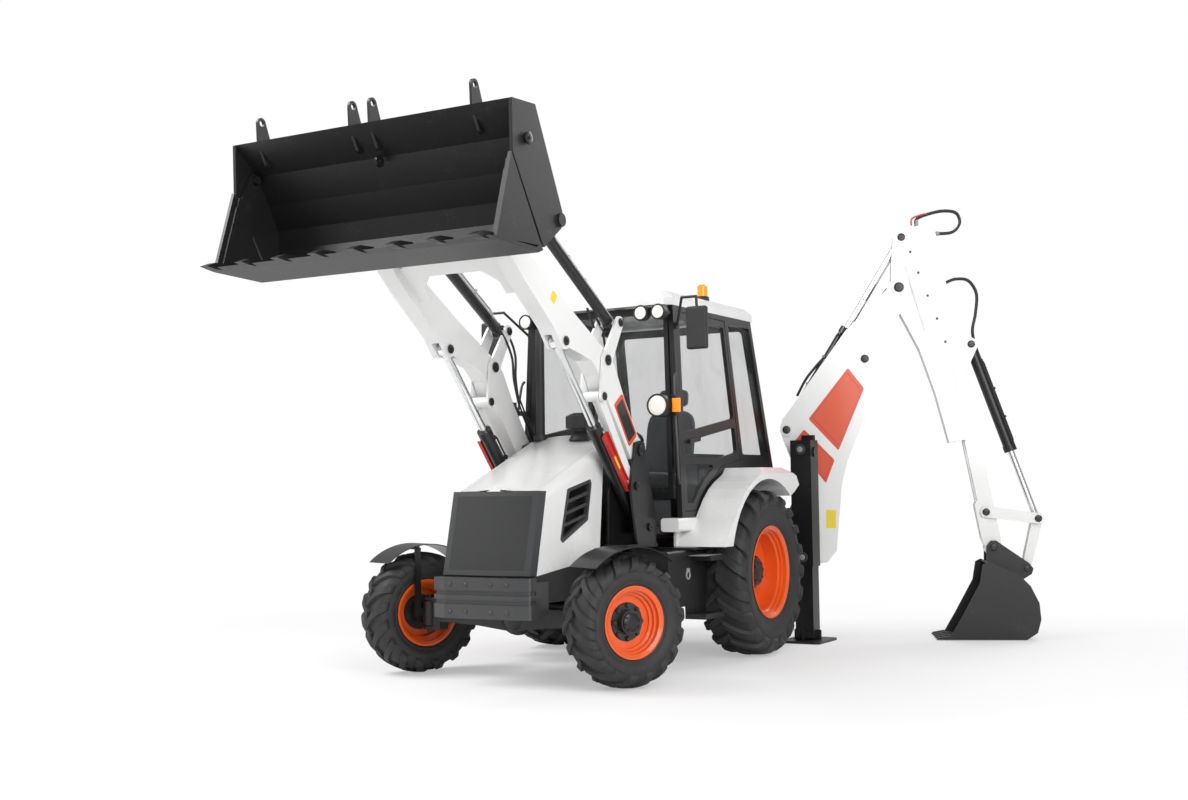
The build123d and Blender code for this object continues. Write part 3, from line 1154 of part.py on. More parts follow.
def boom_barrel():
    """Boom cylinder barrel inside the boom."""
    return barrel(dig_plane(), BOOM_CYL_BASE, BOOM_CYL_EYE, BOOM_BARREL, DIG_CYL_R + 5,
                  DIG_ROD_R, 60, FOOT_PIN_R)


def boom_rod():
    """Boom cylinder rod."""
    return piston_rod(dig_plane(), BOOM_CYL_BASE, BOOM_CYL_EYE, BOOM_BARREL, DIG_ROD_R,
                      DIG_CYL_R + 5, 40, FOOT_PIN_R, 505)


def dipper_barrel():
    """Dipper cylinder barrel on the boom's front."""
    return barrel(dig_plane(), DIPPER_CYL_BASE, DIPPER_CYL_EYE, DIPPER_BARREL, DIG_CYL_R,
                  DIG_ROD_R, 50, DIG_PIN_R)


def dipper_rod():
    """Dipper cylinder rod."""
    return piston_rod(dig_plane(), DIPPER_CYL_BASE, DIPPER_CYL_EYE, DIPPER_BARREL, DIG_ROD_R,
                      DIG_CYL_R, 40, DIG_PIN_R, 110)


def on_slide(along, across):
    """Point from the top of the inner dipper's back face, along and square to its slide."""
    return offset_point(DIPPER_BACK, SLIDE_DIR, along, across)


def dipper_outer():
    """Outer dipper: a channel round the inner dipper, with ears for the elbow."""
    plane = dig_plane()
    outline = [on_slide(1770, -116), (1712, 1815), (1597, 2282), (1461, 2698), (1281, 3062),
               (1210, 3240), (1229, 3647), (1250, 3778), (1290, 3818), (1345, 3832), (1530, 3880),
               (1590, 3878), (1632, 3830), (1640, 3760), on_slide(236, -116)]
    body = slab(plane, outline, -OUTER_HALF, OUTER_HALF)
    body += pin(plane, ELBOW, 92, -OUTER_HALF, OUTER_HALF)
    inside = OUTER_HALF - OUTER_T
    room = [(1740, 1700), (1736, 1812), (1617, 2288), (1480, 2706), (1455, 2790), (1420, 3300),
            on_slide(-40, -INNER_DEPTH - 20), on_slide(-40, 100), on_slide(2100, 100)]
    body -= slab(plane, room, -inside, inside)
    slot = [(1120, 3540), (1120, 4000), (1500, 4000), (1500, 3640), (1420, 3540)]
    body -= slab(plane, slot, -inside, inside)
    body -= pin(plane, ELBOW, 36 + PIN_GAP, -BOOM_HALF, BOOM_HALF)
    for side in (-1, 1):
        body += pin(plane, DIPPER_CYL_EYE, DIG_PIN_R, *sorted((side * 52, side * OUTER_HALF)))
        body += pin(plane, DIPPER_CYL_EYE, 52, *sorted((side * inside, side * (OUTER_HALF + 10))))
        body += pin(plane, EXTEND_PIN, 40, *sorted((side * inside, side * (OUTER_HALF + 10))))
    return body + pin(plane, EXTEND_PIN, 26, -inside - 1, inside + 1)


def dipper_inner():
    """Inner dipper: a box that slides in the outer one, with its bucket bracket."""
    plane = dig_plane()
    outline = [on_slide(0, 0), on_slide(0, -135), on_slide(2340, -135), on_slide(2380, -167),
               on_slide(2700, -167), on_slide(2860, -130), on_slide(2860, -30), on_slide(2760, 0)]
    body = slab(plane, outline, -INNER_HALF, INNER_HALF)
    body += slab(plane, [on_slide(200, -120), on_slide(200, -INNER_DEPTH),
                         on_slide(2360, -INNER_DEPTH), on_slide(2360, -120)], -40, 40)
    body += pin(plane, DIG_BUCKET_PIN, 78, -INNER_HALF, INNER_HALF)
    bracket = [(1771, 3050), (1925, 2810), (2000, 2760), (1992, 2700), (1910, 2521), (1860, 2480)]
    for side in (-1, 1):
        body += slab(plane, bracket, *sorted((side * 58, side * 76)))
    for point in (TIP_LEVER_PIN, DIG_BUCKET_PIN):
        body -= pin(plane, point, LINK_PIN_R + 4 + PIN_GAP, -200, 200)
    return body + pin(plane, BUCKET_CYL_BASE, DIG_PIN_R, -84, 84)


def bucket_barrel():
    """Bucket cylinder barrel on the dipper's back."""
    return barrel(dig_plane(), BUCKET_CYL_BASE, BUCKET_CYL_EYE, BUCKET_BARREL, DIG_CYL_R - 2,
                  DIG_ROD_R - 2, 48, DIG_PIN_R)


def bucket_rod():
    """Bucket cylinder rod."""
    return piston_rod(dig_plane(), BUCKET_CYL_BASE, BUCKET_CYL_EYE, BUCKET_BARREL, DIG_ROD_R - 2,
                      DIG_CYL_R - 2, 32, DIG_PIN_R, 330)


def tipping_levers():
    """Pair of levers on the dipper that carry the bucket cylinder's end."""
    plane = dig_plane()
    low, high = INNER_HALF + SIDE_GAP + 2, INNER_HALF + SIDE_GAP + 22
    body = pin(plane, TIP_LEVER_PIN, LINK_PIN_R + 4, -high - 8, high + 8)
    for side in (-1, 1):
        faces = sorted((side * low, side * high))
        body += strap(plane, TIP_LEVER_PIN, 52, BUCKET_CYL_EYE, 48, *faces)
        body += pin(plane, BUCKET_CYL_EYE, LINK_PIN_R, *sorted((side * 42, side * (high + 8))))
    return body


def bucket_link():
    """Pair of links between the levers and the bucket."""
    plane = dig_plane()
    body = Part()
    for side in (-1, 1):
        faces = sorted((side * 44, side * 64))
        body += strap(plane, BUCKET_CYL_EYE, 46, DIG_LINK_PIN, 38, *faces)
    middle = ((BUCKET_CYL_EYE[0] + DIG_LINK_PIN[0]) / 2, (BUCKET_CYL_EYE[1] + DIG_LINK_PIN[1]) / 2)
    body += pin(plane, between(middle, DIG_LINK_PIN, 60), 24, -50, 50)
    for point in (BUCKET_CYL_EYE, DIG_LINK_PIN):
        body -= pin(plane, point, LINK_PIN_R + PIN_GAP, -80, 80)
    return body


def digging_bucket():
    """Digging bucket: side plates, curved shell, mounting ears and teeth."""
    plane = dig_plane()
    half = DIG_BUCKET_HALF
    side_points = [(1640, 6), (2331, 6), (2428, 70), (2462, 190), (2450, 340), (2378, 492),
                   (2276, 600), (2010, 716), (1960, 690), (1930, 520), (1760, 210)]
    shell_out = [(1600, 6), (2331, 6), (2428, 70), (2462, 190), (2450, 340), (2378, 492),
                 (2276, 600), (2010, 716)]
    shell_in = [(2004, 698), (2262, 586), (2362, 482), (2433, 334), (2445, 194), (2415, 84),
                (2326, 24), (1600, 28)]
    body = slab(plane, shell_out + shell_in, -half, half)
    for side in (-1, 1):
        body += slab(plane, side_points, *sorted((side * (half - 16), side * half)))
        ear_faces = sorted((side * (INNER_HALF + SIDE_GAP), side * (INNER_HALF + SIDE_GAP + 24)))
        ear = slab(plane, [(2016, 690), (2020, 850), (2060, 898), (2110, 898), (2400, 690),
                           (2436, 640), (2420, 590), (2340, 540)], *ear_faces)
        ear -= slab(plane, shell_in + [(1600, 400), (1900, 700)], *ear_faces)
        body += ear
        reach = INNER_HALF + SIDE_GAP + 32
        body += pin(plane, DIG_LINK_PIN, 46, *sorted((side * (reach - 32), side * reach)))
        body += pin(plane, DIG_LINK_PIN, LINK_PIN_R, *sorted((side * 70, side * reach)))
        body += pin(plane, DIG_BUCKET_PIN, 50, *sorted((side * (reach - 32), side * reach)))
    reach = INNER_HALF + SIDE_GAP + 40
    body += pin(plane, DIG_BUCKET_PIN, LINK_PIN_R + 4, -reach, reach)
    pitch = 2 * (half - 34) / (DIG_TEETH - 1)
    for index in range(DIG_TEETH):
        w = -half + 34 + index * pitch
        tooth = [(1532, 6), (1545, 22), (1640, 40), (1700, 40), (1700, 6)]
        body += slab(plane, tooth, w - 28, w + 28)
    return body


# ================================================================ nodes
NODES = {
    "main_frame": main_frame,
    "hood": hood,
    "front_grille": lambda: [front_grille(), both(hood_vents())],
    "front_weight": front_weight,
    "engine_block": engine_block,
    "stack_and_cleaner": stack_and_cleaner,
    "side_tanks": side_tanks,
    "front_axle": front_axle,
    "rear_axle": rear_axle,
    "rear_fenders": fenders,
    "cab_floor": lambda: cab_floor() + steering_wheel(),
    "cab_frame": lambda: cab_frame() + lamp_brackets(),
    "cab_roof": cab_roof,
    "cab_windows": cab_windows,
    "seat": seat,
    "lamps": lamps,
    "beacon": beacon,
    "mirrors": mirrors,
    "rear_frame": rear_frame,
    "door_left": door,
    "door_left_glass": door_glass,
    "door_right": lambda: mirror(door(), about=Plane.XZ),
    "door_right_glass": lambda: mirror(door_glass(), about=Plane.XZ),
    "knuckle_left": lambda: knuckle(1),
    "knuckle_right": lambda: knuckle(-1),
    "tie_rod": tie_rod,
    "rim_front_left": lambda: wheel(1, True)["rim"],
    "rim_front_right": lambda: wheel(-1, True)["rim"],
    "rim_rear_left": lambda: wheel(1, False)["rim"],
    "rim_rear_right": lambda: wheel(-1, False)["rim"],
    "tyre_front_left": lambda: wheel(1, True)["tyre"],
    "tyre_front_right": lambda: wheel(-1, True)["tyre"],
    "tyre_rear_left": lambda: wheel(1, False)["tyre"],
    "tyre_rear_right": lambda: wheel(-1, False)["tyre"],
    "loader_arms": loader_arms,
    "tilt_levers": tilt_levers,
    "levelling_links": levelling_links,
    "lift_barrels": lift_barrels,
    "lift_rods": lift_rods,
    "tilt_barrels": tilt_barrels,
    "tilt_rods": tilt_rods,
    "carrier_pins": carrier_pins,
    "loader_bucket": loader_bucket,
    "bucket_clam": bucket_clam,
    "carriage": carriage,
    "kingpost": kingpost,
    "boom": boom,
    "boom_barrel": boom_barrel,
    "boom_rod": boom_rod,
    "dipper_outer": dipper_outer,
    "dipper_barrel": dipper_barrel,
    "dipper_rod": dipper_rod,
    "dipper_inner": dipper_inner,
    "bucket_barrel": bucket_barrel,
    "bucket_rod": bucket_rod,
    "tipping_levers": tipping_levers,
    "bucket_link": bucket_link,
    "digging_bucket": digging_bucket,
    "stabiliser_left": stabiliser,
    "stabiliser_right": lambda: mirror(stabiliser(), about=Plane.XZ),
}


def as_compound(made):
    """One compound from a node's solid or list of solids."""
    pieces = made if isinstance(made, list) else [made]
    solids = [solid for piece in pieces for solid in piece.solids()]
    return Compound(children=solids) if len(solids) > 1 else solids[0]


def main():
    """Build every node and write it to its own file."""
    os.makedirs("parts", exist_ok=True)
    for name, build in NODES.items():
        export_step(as_compound(build()), f"parts/{name}.step")


if __name__ == "__main__":
    main()
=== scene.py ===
"""Finishes and fittings of a backhoe loader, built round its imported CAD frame.

Everything is in metres in the frame's own axes: +X forward, +Y the machine's left, +Z up,
with the origin on the floor below the middle of the rear axle.
"""
import logging
import math
from dataclasses import dataclass, field
from enum import Enum
from typing import Callable, Iterable, Sequence, Union

import bpy
import numpy as np
from mathutils import Matrix


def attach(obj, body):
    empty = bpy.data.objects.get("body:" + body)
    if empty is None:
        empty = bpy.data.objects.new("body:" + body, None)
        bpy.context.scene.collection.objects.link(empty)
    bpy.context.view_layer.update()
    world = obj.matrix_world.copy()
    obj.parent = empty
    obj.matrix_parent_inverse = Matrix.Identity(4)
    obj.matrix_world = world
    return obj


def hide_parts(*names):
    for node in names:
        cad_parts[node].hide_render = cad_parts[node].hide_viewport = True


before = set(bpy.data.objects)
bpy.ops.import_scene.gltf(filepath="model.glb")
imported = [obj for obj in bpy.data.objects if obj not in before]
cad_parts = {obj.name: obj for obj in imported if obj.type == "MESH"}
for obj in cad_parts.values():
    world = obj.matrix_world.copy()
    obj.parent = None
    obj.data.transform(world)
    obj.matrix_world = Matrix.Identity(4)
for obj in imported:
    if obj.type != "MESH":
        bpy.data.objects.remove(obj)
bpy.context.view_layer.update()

log = logging.getLogger("loader")

Array = np.ndarray
Colour = tuple[float, float, float]
Point = Sequence[float]
Value = Union["Socket", float]
Shade = Union["Socket", Colour]
X_AXIS, Y_AXIS, Z_AXIS = (1.0, 0.0, 0.0), (0.0, 1.0, 0.0), (0.0, 0.0, 1.0)
ORIGIN = (0.0, 0.0, 0.0)


# ============================================================== surfaces
def unit(vectors: Array) -> Array:
    """Vectors scaled to length one, along the last axis."""
    vectors = np.asarray(vectors, float)
    return vectors / np.maximum(np.linalg.norm(vectors, axis=-1, keepdims=True), 1e-12)


@dataclass
class Surface:
    """Points with the faces between them; surfaces add up to one mesh."""

    points: Array
    faces: list

    def __add__(self, other: "Surface") -> "Surface":
        """Both surfaces as one."""
        return together((self, other))

    def turned_over(self) -> "Surface":
        """The same surface with its faces pointing the other way."""
        return Surface(self.points, [tuple(reversed(f)) for f in self.faces])

    def both_sides(self) -> "Surface":
        """The surface with its mirror image in the machine's middle plane."""
        image = Surface(self.points * (1.0, -1.0, 1.0), self.faces)
        return self + image.turned_over()


def together(parts: Iterable[Surface]) -> Surface:
    """Several surfaces as one: points stacked, each part's faces shifted to its own.

    Args:
        parts: the surfaces, at least one.

    Returns:
        Surface: all of them.
    """
    points, faces, shift = [], [], 0
    for part in parts:
        points.append(part.points)
        faces += [tuple(int(i) + shift for i in f) for f in part.faces]
        shift += len(part.points)
    return Surface(np.vstack(points), faces)


@dataclass(frozen=True)
class Place:
    """A right-handed set of axes: local (a, b, c) is origin + a*x + b*y + c*z."""

    origin: tuple
    x: tuple = X_AXIS
    z: tuple = Z_AXIS

    def axes(self) -> Array:
        """The three unit axes as rows, with y = z cross x."""
        z = unit(np.array(self.z, float))
        x = np.array(self.x, float)
        x = unit(x - z * (x @ z))
        return np.array([x, np.cross(z, x), z])

    def at(self, local: Array) -> Array:
        """Points given in these axes, in the frame's axes."""
        return np.asarray(local, float) @ self.axes() + np.array(self.origin, float)

    def carry(self, surface: Surface) -> Surface:
        """A surface drawn in these axes, in the frame's axes."""
        return Surface(self.at(surface.points), surface.faces)


def grid(points: Array, close_rows: bool = False, close_columns: bool = False) -> Surface:
    """Faces over a grid of points: face (i, j) joins the points (i, j) to (i+1, j+1).

    Args:
        points: array of shape (rows, columns, 3).
        close_rows: join the last row to the first.
        close_columns: join the last column to the first.

    Returns:
        Surface: the grid's points with a four-sided face in each cell.
    """
    rows, columns = points.shape[:2]
    ids = np.arange(rows * columns).reshape(rows, columns)
    if close_rows:
        ids = np.vstack([ids, ids[:1]])
    if close_columns:
        ids = np.hstack([ids, ids[:, :1]])
    quads = np.stack([ids[:-1, :-1], ids[1:, :-1], ids[1:, 1:], ids[:-1, 1:]], axis=-1)
    return Surface(points.reshape(-1, 3), [tuple(q) for q in quads.reshape(-1, 4).tolist()])


def capped(tube: Surface, columns: int) -> Surface:
    """A tube of rings of that many points, with its first and last ring filled."""
    last = len(tube.points) - columns
    ends = [tuple(range(columns)), tuple(range(last + columns - 1, last - 1, -1))]
    return Surface(tube.points, tube.faces + ends)


def lathe(profile: Sequence[Point], segments: int = 48, closed: bool = False) -> Surface:
    """A (radius, height) line turned round the local z axis.

    Point (i, j) is (r_i cos t_j, r_i sin t_j, h_i), with t_j evenly round the circle.

    Args:
        profile: the line, from its top downwards on the outside.
        segments: points round the circle.
        closed: join the line's last point to its first.

    Returns:
        Surface: the turned surface, ends filled unless the profile is closed.
    """
    line = np.array(profile, float)
    angle = np.linspace(0, 2 * np.pi, segments, endpoint=False)
    ring = np.stack([np.cos(angle), np.sin(angle)], axis=-1)
    heights = np.broadcast_to(line[:, None, 1:], (len(line), segments, 1))
    points = np.concatenate([line[:, None, :1] * ring[None], heights], axis=-1)
    surface = grid(points, close_rows=closed, close_columns=True)
    return surface if closed else capped(surface, segments)


def inset(outline: Array, amount: float) -> Array:
    """A closed outline moved inwards: each corner goes along the mitre of its two sides.

    Args:
        outline: the outline, anticlockwise.
        amount: how far in each side moves.

    Returns:
        Array: the outline's new points.
    """
    ahead = unit(np.roll(outline, -1, axis=0) - outline)
    behind = unit(outline - np.roll(outline, 1, axis=0))
    normal = np.stack([-ahead[:, 1] - behind[:, 1], ahead[:, 0] + behind[:, 0]], axis=-1)
    turn = np.maximum(1 + np.sum(ahead * behind, axis=-1, keepdims=True), 0.3)
    return outline + normal / turn * amount


def rounded(corners: Sequence[Point], radius: float, steps: int = 5) -> Array:
    """A polygon with its corners rounded by quadratic arcs between the sides.

    Each corner's arc runs from a point `radius` before it to one `radius` after it.

    Args:
        corners: the polygon, anticlockwise.
        radius: how far from the corner each arc starts.
        steps: points on each arc.

    Returns:
        Array: the outline's points.
    """
    corner = np.array(corners, float)
    before, after = np.roll(corner, 1, axis=0) - corner, np.roll(corner, -1, axis=0) - corner
    reach = np.minimum(np.linalg.norm(before, axis=1), np.linalg.norm(after, axis=1)) * 0.49
    reach = np.minimum(reach, radius)[:, None]
    start, end = corner + unit(before) * reach, corner + unit(after) * reach
    t = np.linspace(0, 1, steps)[None, :, None]
    arc = ((1 - t) ** 2 * start[:, None] + 2 * t * (1 - t) * corner[:, None]
           + t ** 2 * end[:, None])
    return arc.reshape(-1, 2)


def plate(outline: Array, low: float, high: float, edge: float = 0.002) -> Surface:
    """A flat plate with chamfered edges, over an anticlockwise outline in the local plane.

    Four rings carry the outline up: inset at the bottom, full, full, inset at the top.

    Args:
        outline: closed (a, b) line.
        low: height of the bottom face.
        high: height of the top face.
        edge: size of the chamfer.

    Returns:
        Surface: the closed plate.
    """
    outline = np.asarray(outline, float)
    ahead = np.roll(outline, -1, axis=0)
    area = np.sum(outline[:, 0] * ahead[:, 1] - ahead[:, 0] * outline[:, 1])
    outline = outline if area > 0 else outline[::-1]
    lean = inset(outline, edge)
    rings = [(lean, high), (outline, high - edge), (outline, low + edge), (lean, low)]
    points = np.array([np.column_stack([line, np.full(len(line), h)]) for line, h in rings])
    return capped(grid(points, close_columns=True), len(outline))


def circle(radius: float, steps: int = 24) -> Array:
    """Points evenly round a circle in the local plane."""
    angle = np.linspace(0, 2 * np.pi, steps, endpoint=False)
    return np.stack([np.cos(angle), np.sin(angle)], axis=-1) * radius


def rectangle(half_a: float, half_b: float, radius: float, steps: int = 3) -> Array:
    """A rectangle about the local origin, its corners rounded."""
    corners = [(-half_a, -half_b), (half_a, -half_b), (half_a, half_b), (-half_a, half_b)]
    return rounded(corners, radius, steps)


def frames_along(path: Array) -> tuple[Array, Array]:
    """Two unit vectors square to a path at each of its points.

    The first is the tangent crossed with the normal of the path's mean plane, so the
    pair doesn't twist; the second completes it.

    Args:
        path: points of shape (n, 3).

    Returns:
        tuple: sides and ups, each of shape (n, 3).
    """
    tangent = unit(np.gradient(path, axis=0))
    spread = np.linalg.svd(path - path.mean(axis=0), full_matrices=True)[2]
    flat = np.linalg.norm(np.cross(tangent, spread[2]), axis=1).min() > 0.2
    side = unit(np.cross(tangent, spread[2] if flat else spread[1]))
    return side, np.cross(side, tangent)


def sweep(path: Array, section: Array) -> Surface:
    """A closed section carried along a path, its ends filled.

    Point (i, j) is path_i + a_j * side_i + b_j * up_i.

    Args:
        path: points of shape (n, 3).
        section: closed outline (a, b).

    Returns:
        Surface: the closed tube.
    """
    path = np.asarray(path, float)
    side, up = frames_along(path)
    ring = section[None, :, :1] * side[:, None] + section[None, :, 1:] * up[:, None]
    tube = grid(path[:, None] + ring, close_columns=True)
    return capped(tube, len(section)).turned_over()


def smooth_line(points: Sequence[Point], steps: int = 10) -> Array:
    """A smooth line through points: Catmull-Rom pieces, each a cubic of its four nearest.

    Args:
        points: the points that the line passes.
        steps: points on each piece.

    Returns:
        Array: the line, of shape (n, 3).
    """
    p = np.array(points, float)
    p = np.vstack([2 * p[0] - p[1], p, 2 * p[-1] - p[-2]])
    a, b, c, d = (q[:, None] for q in (p[:-3], p[1:-2], p[2:-1], p[3:]))
    t = np.linspace(0, 1, steps, endpoint=False)[None, :, None]
    line = 0.5 * (2 * b + (c - a) * t + (2 * a - 5 * b + 4 * c - d) * t ** 2
                  + (3 * b - a - 3 * c + d) * t ** 3)
    return np.vstack([line.reshape(-1, 3), p[-2]])


def hose(points: Sequence[Point], radius: float, sides: int = 12) -> Surface:
    """A round hose through points."""
    return sweep(smooth_line(points), circle(radius, sides))


# ============================================================== shader tools
class Socket:
    """An output of a shader node; arithmetic on it adds Math nodes."""

    def __init__(self, shader: "Shader", link: bpy.types.NodeSocket) -> None:
        """Keeps the socket and the shader that it belongs to."""
        self.shader, self.link = shader, link

    def maths(self, operation: str, *others: Value, clamp: bool = False) -> "Socket":
        """A Math node on this socket and up to two others."""
        settings = {"operation": operation, "use_clamp": clamp}
        return self.shader.node("ShaderNodeMath", settings, dict(enumerate((self, *others))))

    def __rsub__(self, other: float) -> "Socket":
        """A number less this socket."""
        return (self * -1.0).maths("ADD", other)

    def clamped(self) -> "Socket":
        """The value held between nought and one."""
        return self.maths("ADD", 0.0, clamp=True)

    def between(self, low: float, high: float) -> "Socket":
        """A smooth step from nought at low to one at high."""
        t = ((self - low) / (high - low)).clamped()
        return t * t * (3.0 - t * 2.0)


def operator(operation: str) -> Callable:
    """A method that puts a socket and another value through one kind of Math node."""
    def apply(self: Socket, other: Value) -> Socket:
        """The Math node's output; a comparison gives one where it holds, nought elsewhere."""
        return self.maths(operation, other)
    return apply


for sign, kind in (("add", "ADD"), ("radd", "ADD"), ("mul", "MULTIPLY"), ("rmul", "MULTIPLY"),
                   ("sub", "SUBTRACT"), ("truediv", "DIVIDE"), ("pow", "POWER"),
                   ("gt", "GREATER_THAN"), ("lt", "LESS_THAN")):
    setattr(Socket, f"__{sign}__", operator(kind))

class Shader:
    """A material's node tree round one Principled shader."""

    def __init__(self, name: str) -> None:
        """Starts a material with a Principled shader and its output."""
        self.material = bpy.data.materials.new(name)
        self.material.use_nodes = True
        self.tree = self.material.node_tree
        self.tree.nodes.clear()
        self.principled = self.tree.nodes.new("ShaderNodeBsdfPrincipled")
        self.output = self.tree.nodes.new("ShaderNodeOutputMaterial")
        self.tree.links.new(self.principled.outputs[0], self.output.inputs[0])

    def join(self, node: bpy.types.Node, inputs: dict) -> None:
        """Links or sets a node's inputs.

        Args:
            node: the node.
            inputs: a socket or a plain value for each input, by name or number.
        """
        for key, value in inputs.items():
            socket = node.inputs[key]
            if isinstance(value, Socket):
                self.tree.links.new(value.link, socket)
            else:
                socket.default_value = value

    def node(self, kind: str, settings: dict | None = None, inputs: dict | None = None,
             output: Union[int, str] = 0) -> Socket:
        """One node of any type.

        Args:
            kind: the node's type.
            settings: its properties.
            inputs: values or sockets for its inputs, by name or number.
            output: which output is wanted.

        Returns:
            Socket: that output.
        """
        node = self.tree.nodes.new(kind)
        for key, value in (settings or {}).items():
            setattr(node, key, value)
        self.join(node, inputs or {})
        return Socket(self, node.outputs[output])

    def place(self) -> Socket:
        """Where the surface is, in the frame's axes."""
        return self.node("ShaderNodeTexCoord", output="Object")

    def parts(self, vector: Socket) -> list[Socket]:
        """A vector's three numbers."""
        split = self.tree.nodes.new("ShaderNodeSeparateXYZ")
        self.tree.links.new(vector.link, split.inputs[0])
        return [Socket(self, out) for out in split.outputs]

    def noise(self, scale: float, detail: float = 3.0, roughness: float = 0.55,
              stretch: Point = (1.0, 1.0, 1.0)) -> Socket:
        """Cloudy noise from nought to one; scale is in cycles a metre."""
        spread = self.node("ShaderNodeMapping", inputs={"Vector": self.place(), "Scale": stretch})
        return self.node("ShaderNodeTexNoise", {"noise_dimensions": "3D"}, {
            "Vector": spread, "Scale": scale, "Detail": detail, "Roughness": roughness})

    def mix(self, factor: Value, first: Shade, second: Shade) -> Socket:
        """The first colour, going over to the second as the factor rises to one.

        Args:
            factor: the second colour's share.
            first: a colour, or a socket of one.
            second: the same.

        Returns:
            Socket: the mixed colour.
        """
        node = self.tree.nodes.new("ShaderNodeMix")
        node.data_type = "RGBA"
        wide = [c if isinstance(c, Socket) else (*c, 1.0) for c in (first, second)]
        self.join(node, {0: factor, 6: wide[0], 7: wide[1]})
        return Socket(self, node.outputs[2])

    def bump(self, height: Socket, depth: float, strength: float = 1.0) -> Socket:
        """A normal from a height of nought to one that stands for that depth in metres."""
        return self.node("ShaderNodeBump", inputs={
            "Height": height, "Distance": depth, "Strength": strength})

    def surface(self, **inputs: Union[Value, tuple]) -> bpy.types.Material:
        """Sets the Principled shader's inputs, with _ for a space, and gives the material."""
        self.join(self.principled, {k.replace("_", " "): v for k, v in inputs.items()})
        return self.material


# ============================================================== finishes
MADE: dict = {}


@dataclass(frozen=True)
class Finish:
    """A finish makes its material once and hands it out."""

    name: str
    colour: Colour
    slot: str

    def build(self, shader: Shader) -> bpy.types.Material:
        """Fills a shader's tree and gives its material."""
        raise NotImplementedError

    def scaled(self, factor: float, shift: float = 0.0) -> Colour:
        """The finish's colour, each part of it times a factor and plus a shift."""
        return tuple(part * factor + shift for part in self.colour)

    @property
    def material(self) -> bpy.types.Material:
        """The finish's one material."""
        if self not in MADE:
            MADE[self] = self.build(Shader(self.name))
        return MADE[self]


@dataclass(frozen=True)
class Paint(Finish):
    """Sprayed enamel with orange peel, faint unevenness and dust that gathers low down."""

    roughness: float = 0.32
    coat: float = 0.5
    dust: float = 0.25
    peel: float = 0.00010
    dust_colour: Colour = (0.36, 0.33, 0.29)

    def build(self, shader: Shader) -> bpy.types.Material:
        """Colour and gloss vary with slow noise; dust fades out by 1.3 m above the floor."""
        _, _, height = shader.parts(shader.place())
        cloud = shader.noise(2.2, 4.0)
        grime = (1.0 - height.between(0.15, 1.3)) * cloud.between(0.42, 0.72) * self.dust
        tone = shader.mix(shader.noise(0.9, 2.0).between(0.3, 0.7) * 0.35, self.colour,
                          self.scaled(0.93))
        speck = shader.noise(160.0, 2.0).between(0.70, 0.78) * grime * 0.8
        return shader.surface(
            Base_Color=shader.mix((grime + speck).clamped(), tone, self.dust_colour),
            Roughness=(cloud * 0.10 + (self.roughness - 0.05) + grime * 0.5).clamped(),
            Coat_Weight=(self.coat - grime).clamped(), Coat_Roughness=0.08,
            Normal=shader.bump(shader.noise(420.0, 1.0), self.peel, 0.35))


@dataclass(frozen=True)
class Steel(Finish):
    """Matt black-painted or bare steel, with scuffs that show the lighter metal."""

    roughness: float = 0.5
    scuff: float = 0.3
    scuff_colour: Colour = (0.13, 0.13, 0.13)
    grain: float = 0.0002

    def build(self, shader: Shader) -> bpy.types.Material:
        """Scuffs lie where a fine and a coarse noise are both high; they are glossier."""
        coarse, fine = shader.noise(5.0, 5.0, 0.65), shader.noise(60.0, 4.0, 0.7)
        worn = coarse.between(0.52, 0.68) * fine.between(0.5, 0.66) * self.scuff
        return shader.surface(
            Base_Color=shader.mix(worn, self.colour, self.scuff_colour),
            Roughness=(fine * 0.16 + (self.roughness - 0.08) - worn * 0.2).clamped(),
            Normal=shader.bump(shader.noise(300.0, 3.0), self.grain, 0.4))


@dataclass(frozen=True)
class Plastic(Finish):
    """Moulded plastic with a fine leather-like grain."""

    roughness: float = 0.55

    def build(self, shader: Shader) -> bpy.types.Material:
        """Cells of a Voronoi pattern give the moulded grain, noise the slight fading."""
        cells = shader.node("ShaderNodeTexVoronoi", {"feature": "SMOOTH_F1"},
                            {"Vector": shader.place(), "Scale": 420.0})
        fade = shader.noise(3.0, 3.0).between(0.35, 0.7)
        return shader.surface(
            Base_Color=shader.mix(fade * 0.4, self.colour, self.scaled(1.35, 0.004)),
            Roughness=(fade * 0.12 + self.roughness).clamped(),
            Normal=shader.bump(cells, 0.00025, 0.5))


@dataclass(frozen=True)
class Rubber(Finish):
    """Tyre rubber: near black, dry, with pale dust in its hollows."""

    def build(self, shader: Shader) -> bpy.types.Material:
        """Two noises lighten and roughen the rubber; a third pits it."""
        dust = shader.noise(9.0, 5.0, 0.65).between(0.45, 0.75)
        return shader.surface(
            Base_Color=shader.mix(dust * 0.35, self.colour, (0.075, 0.070, 0.064)),
            Roughness=(dust * 0.18 + 0.62).clamped(),
            Normal=shader.bump(shader.noise(110.0, 4.0), 0.0010, 0.5))


@dataclass(frozen=True)
class Chrome(Finish):
    """Hard-chromed piston rod with a thin film of oil."""

    def build(self, shader: Shader) -> bpy.types.Material:
        """Fine noise streaks the roughness of the bright metal."""
        film = shader.noise(30.0, 3.0)
        return shader.surface(
            Base_Color=shader.mix(film.between(0.45, 0.75) * 0.3, self.colour,
                                  (0.55, 0.55, 0.55)),
            Metallic=1.0, Roughness=(film * 0.14 + 0.08).clamped(),
            Normal=shader.bump(shader.noise(500.0, 2.0), 0.00003, 0.3))


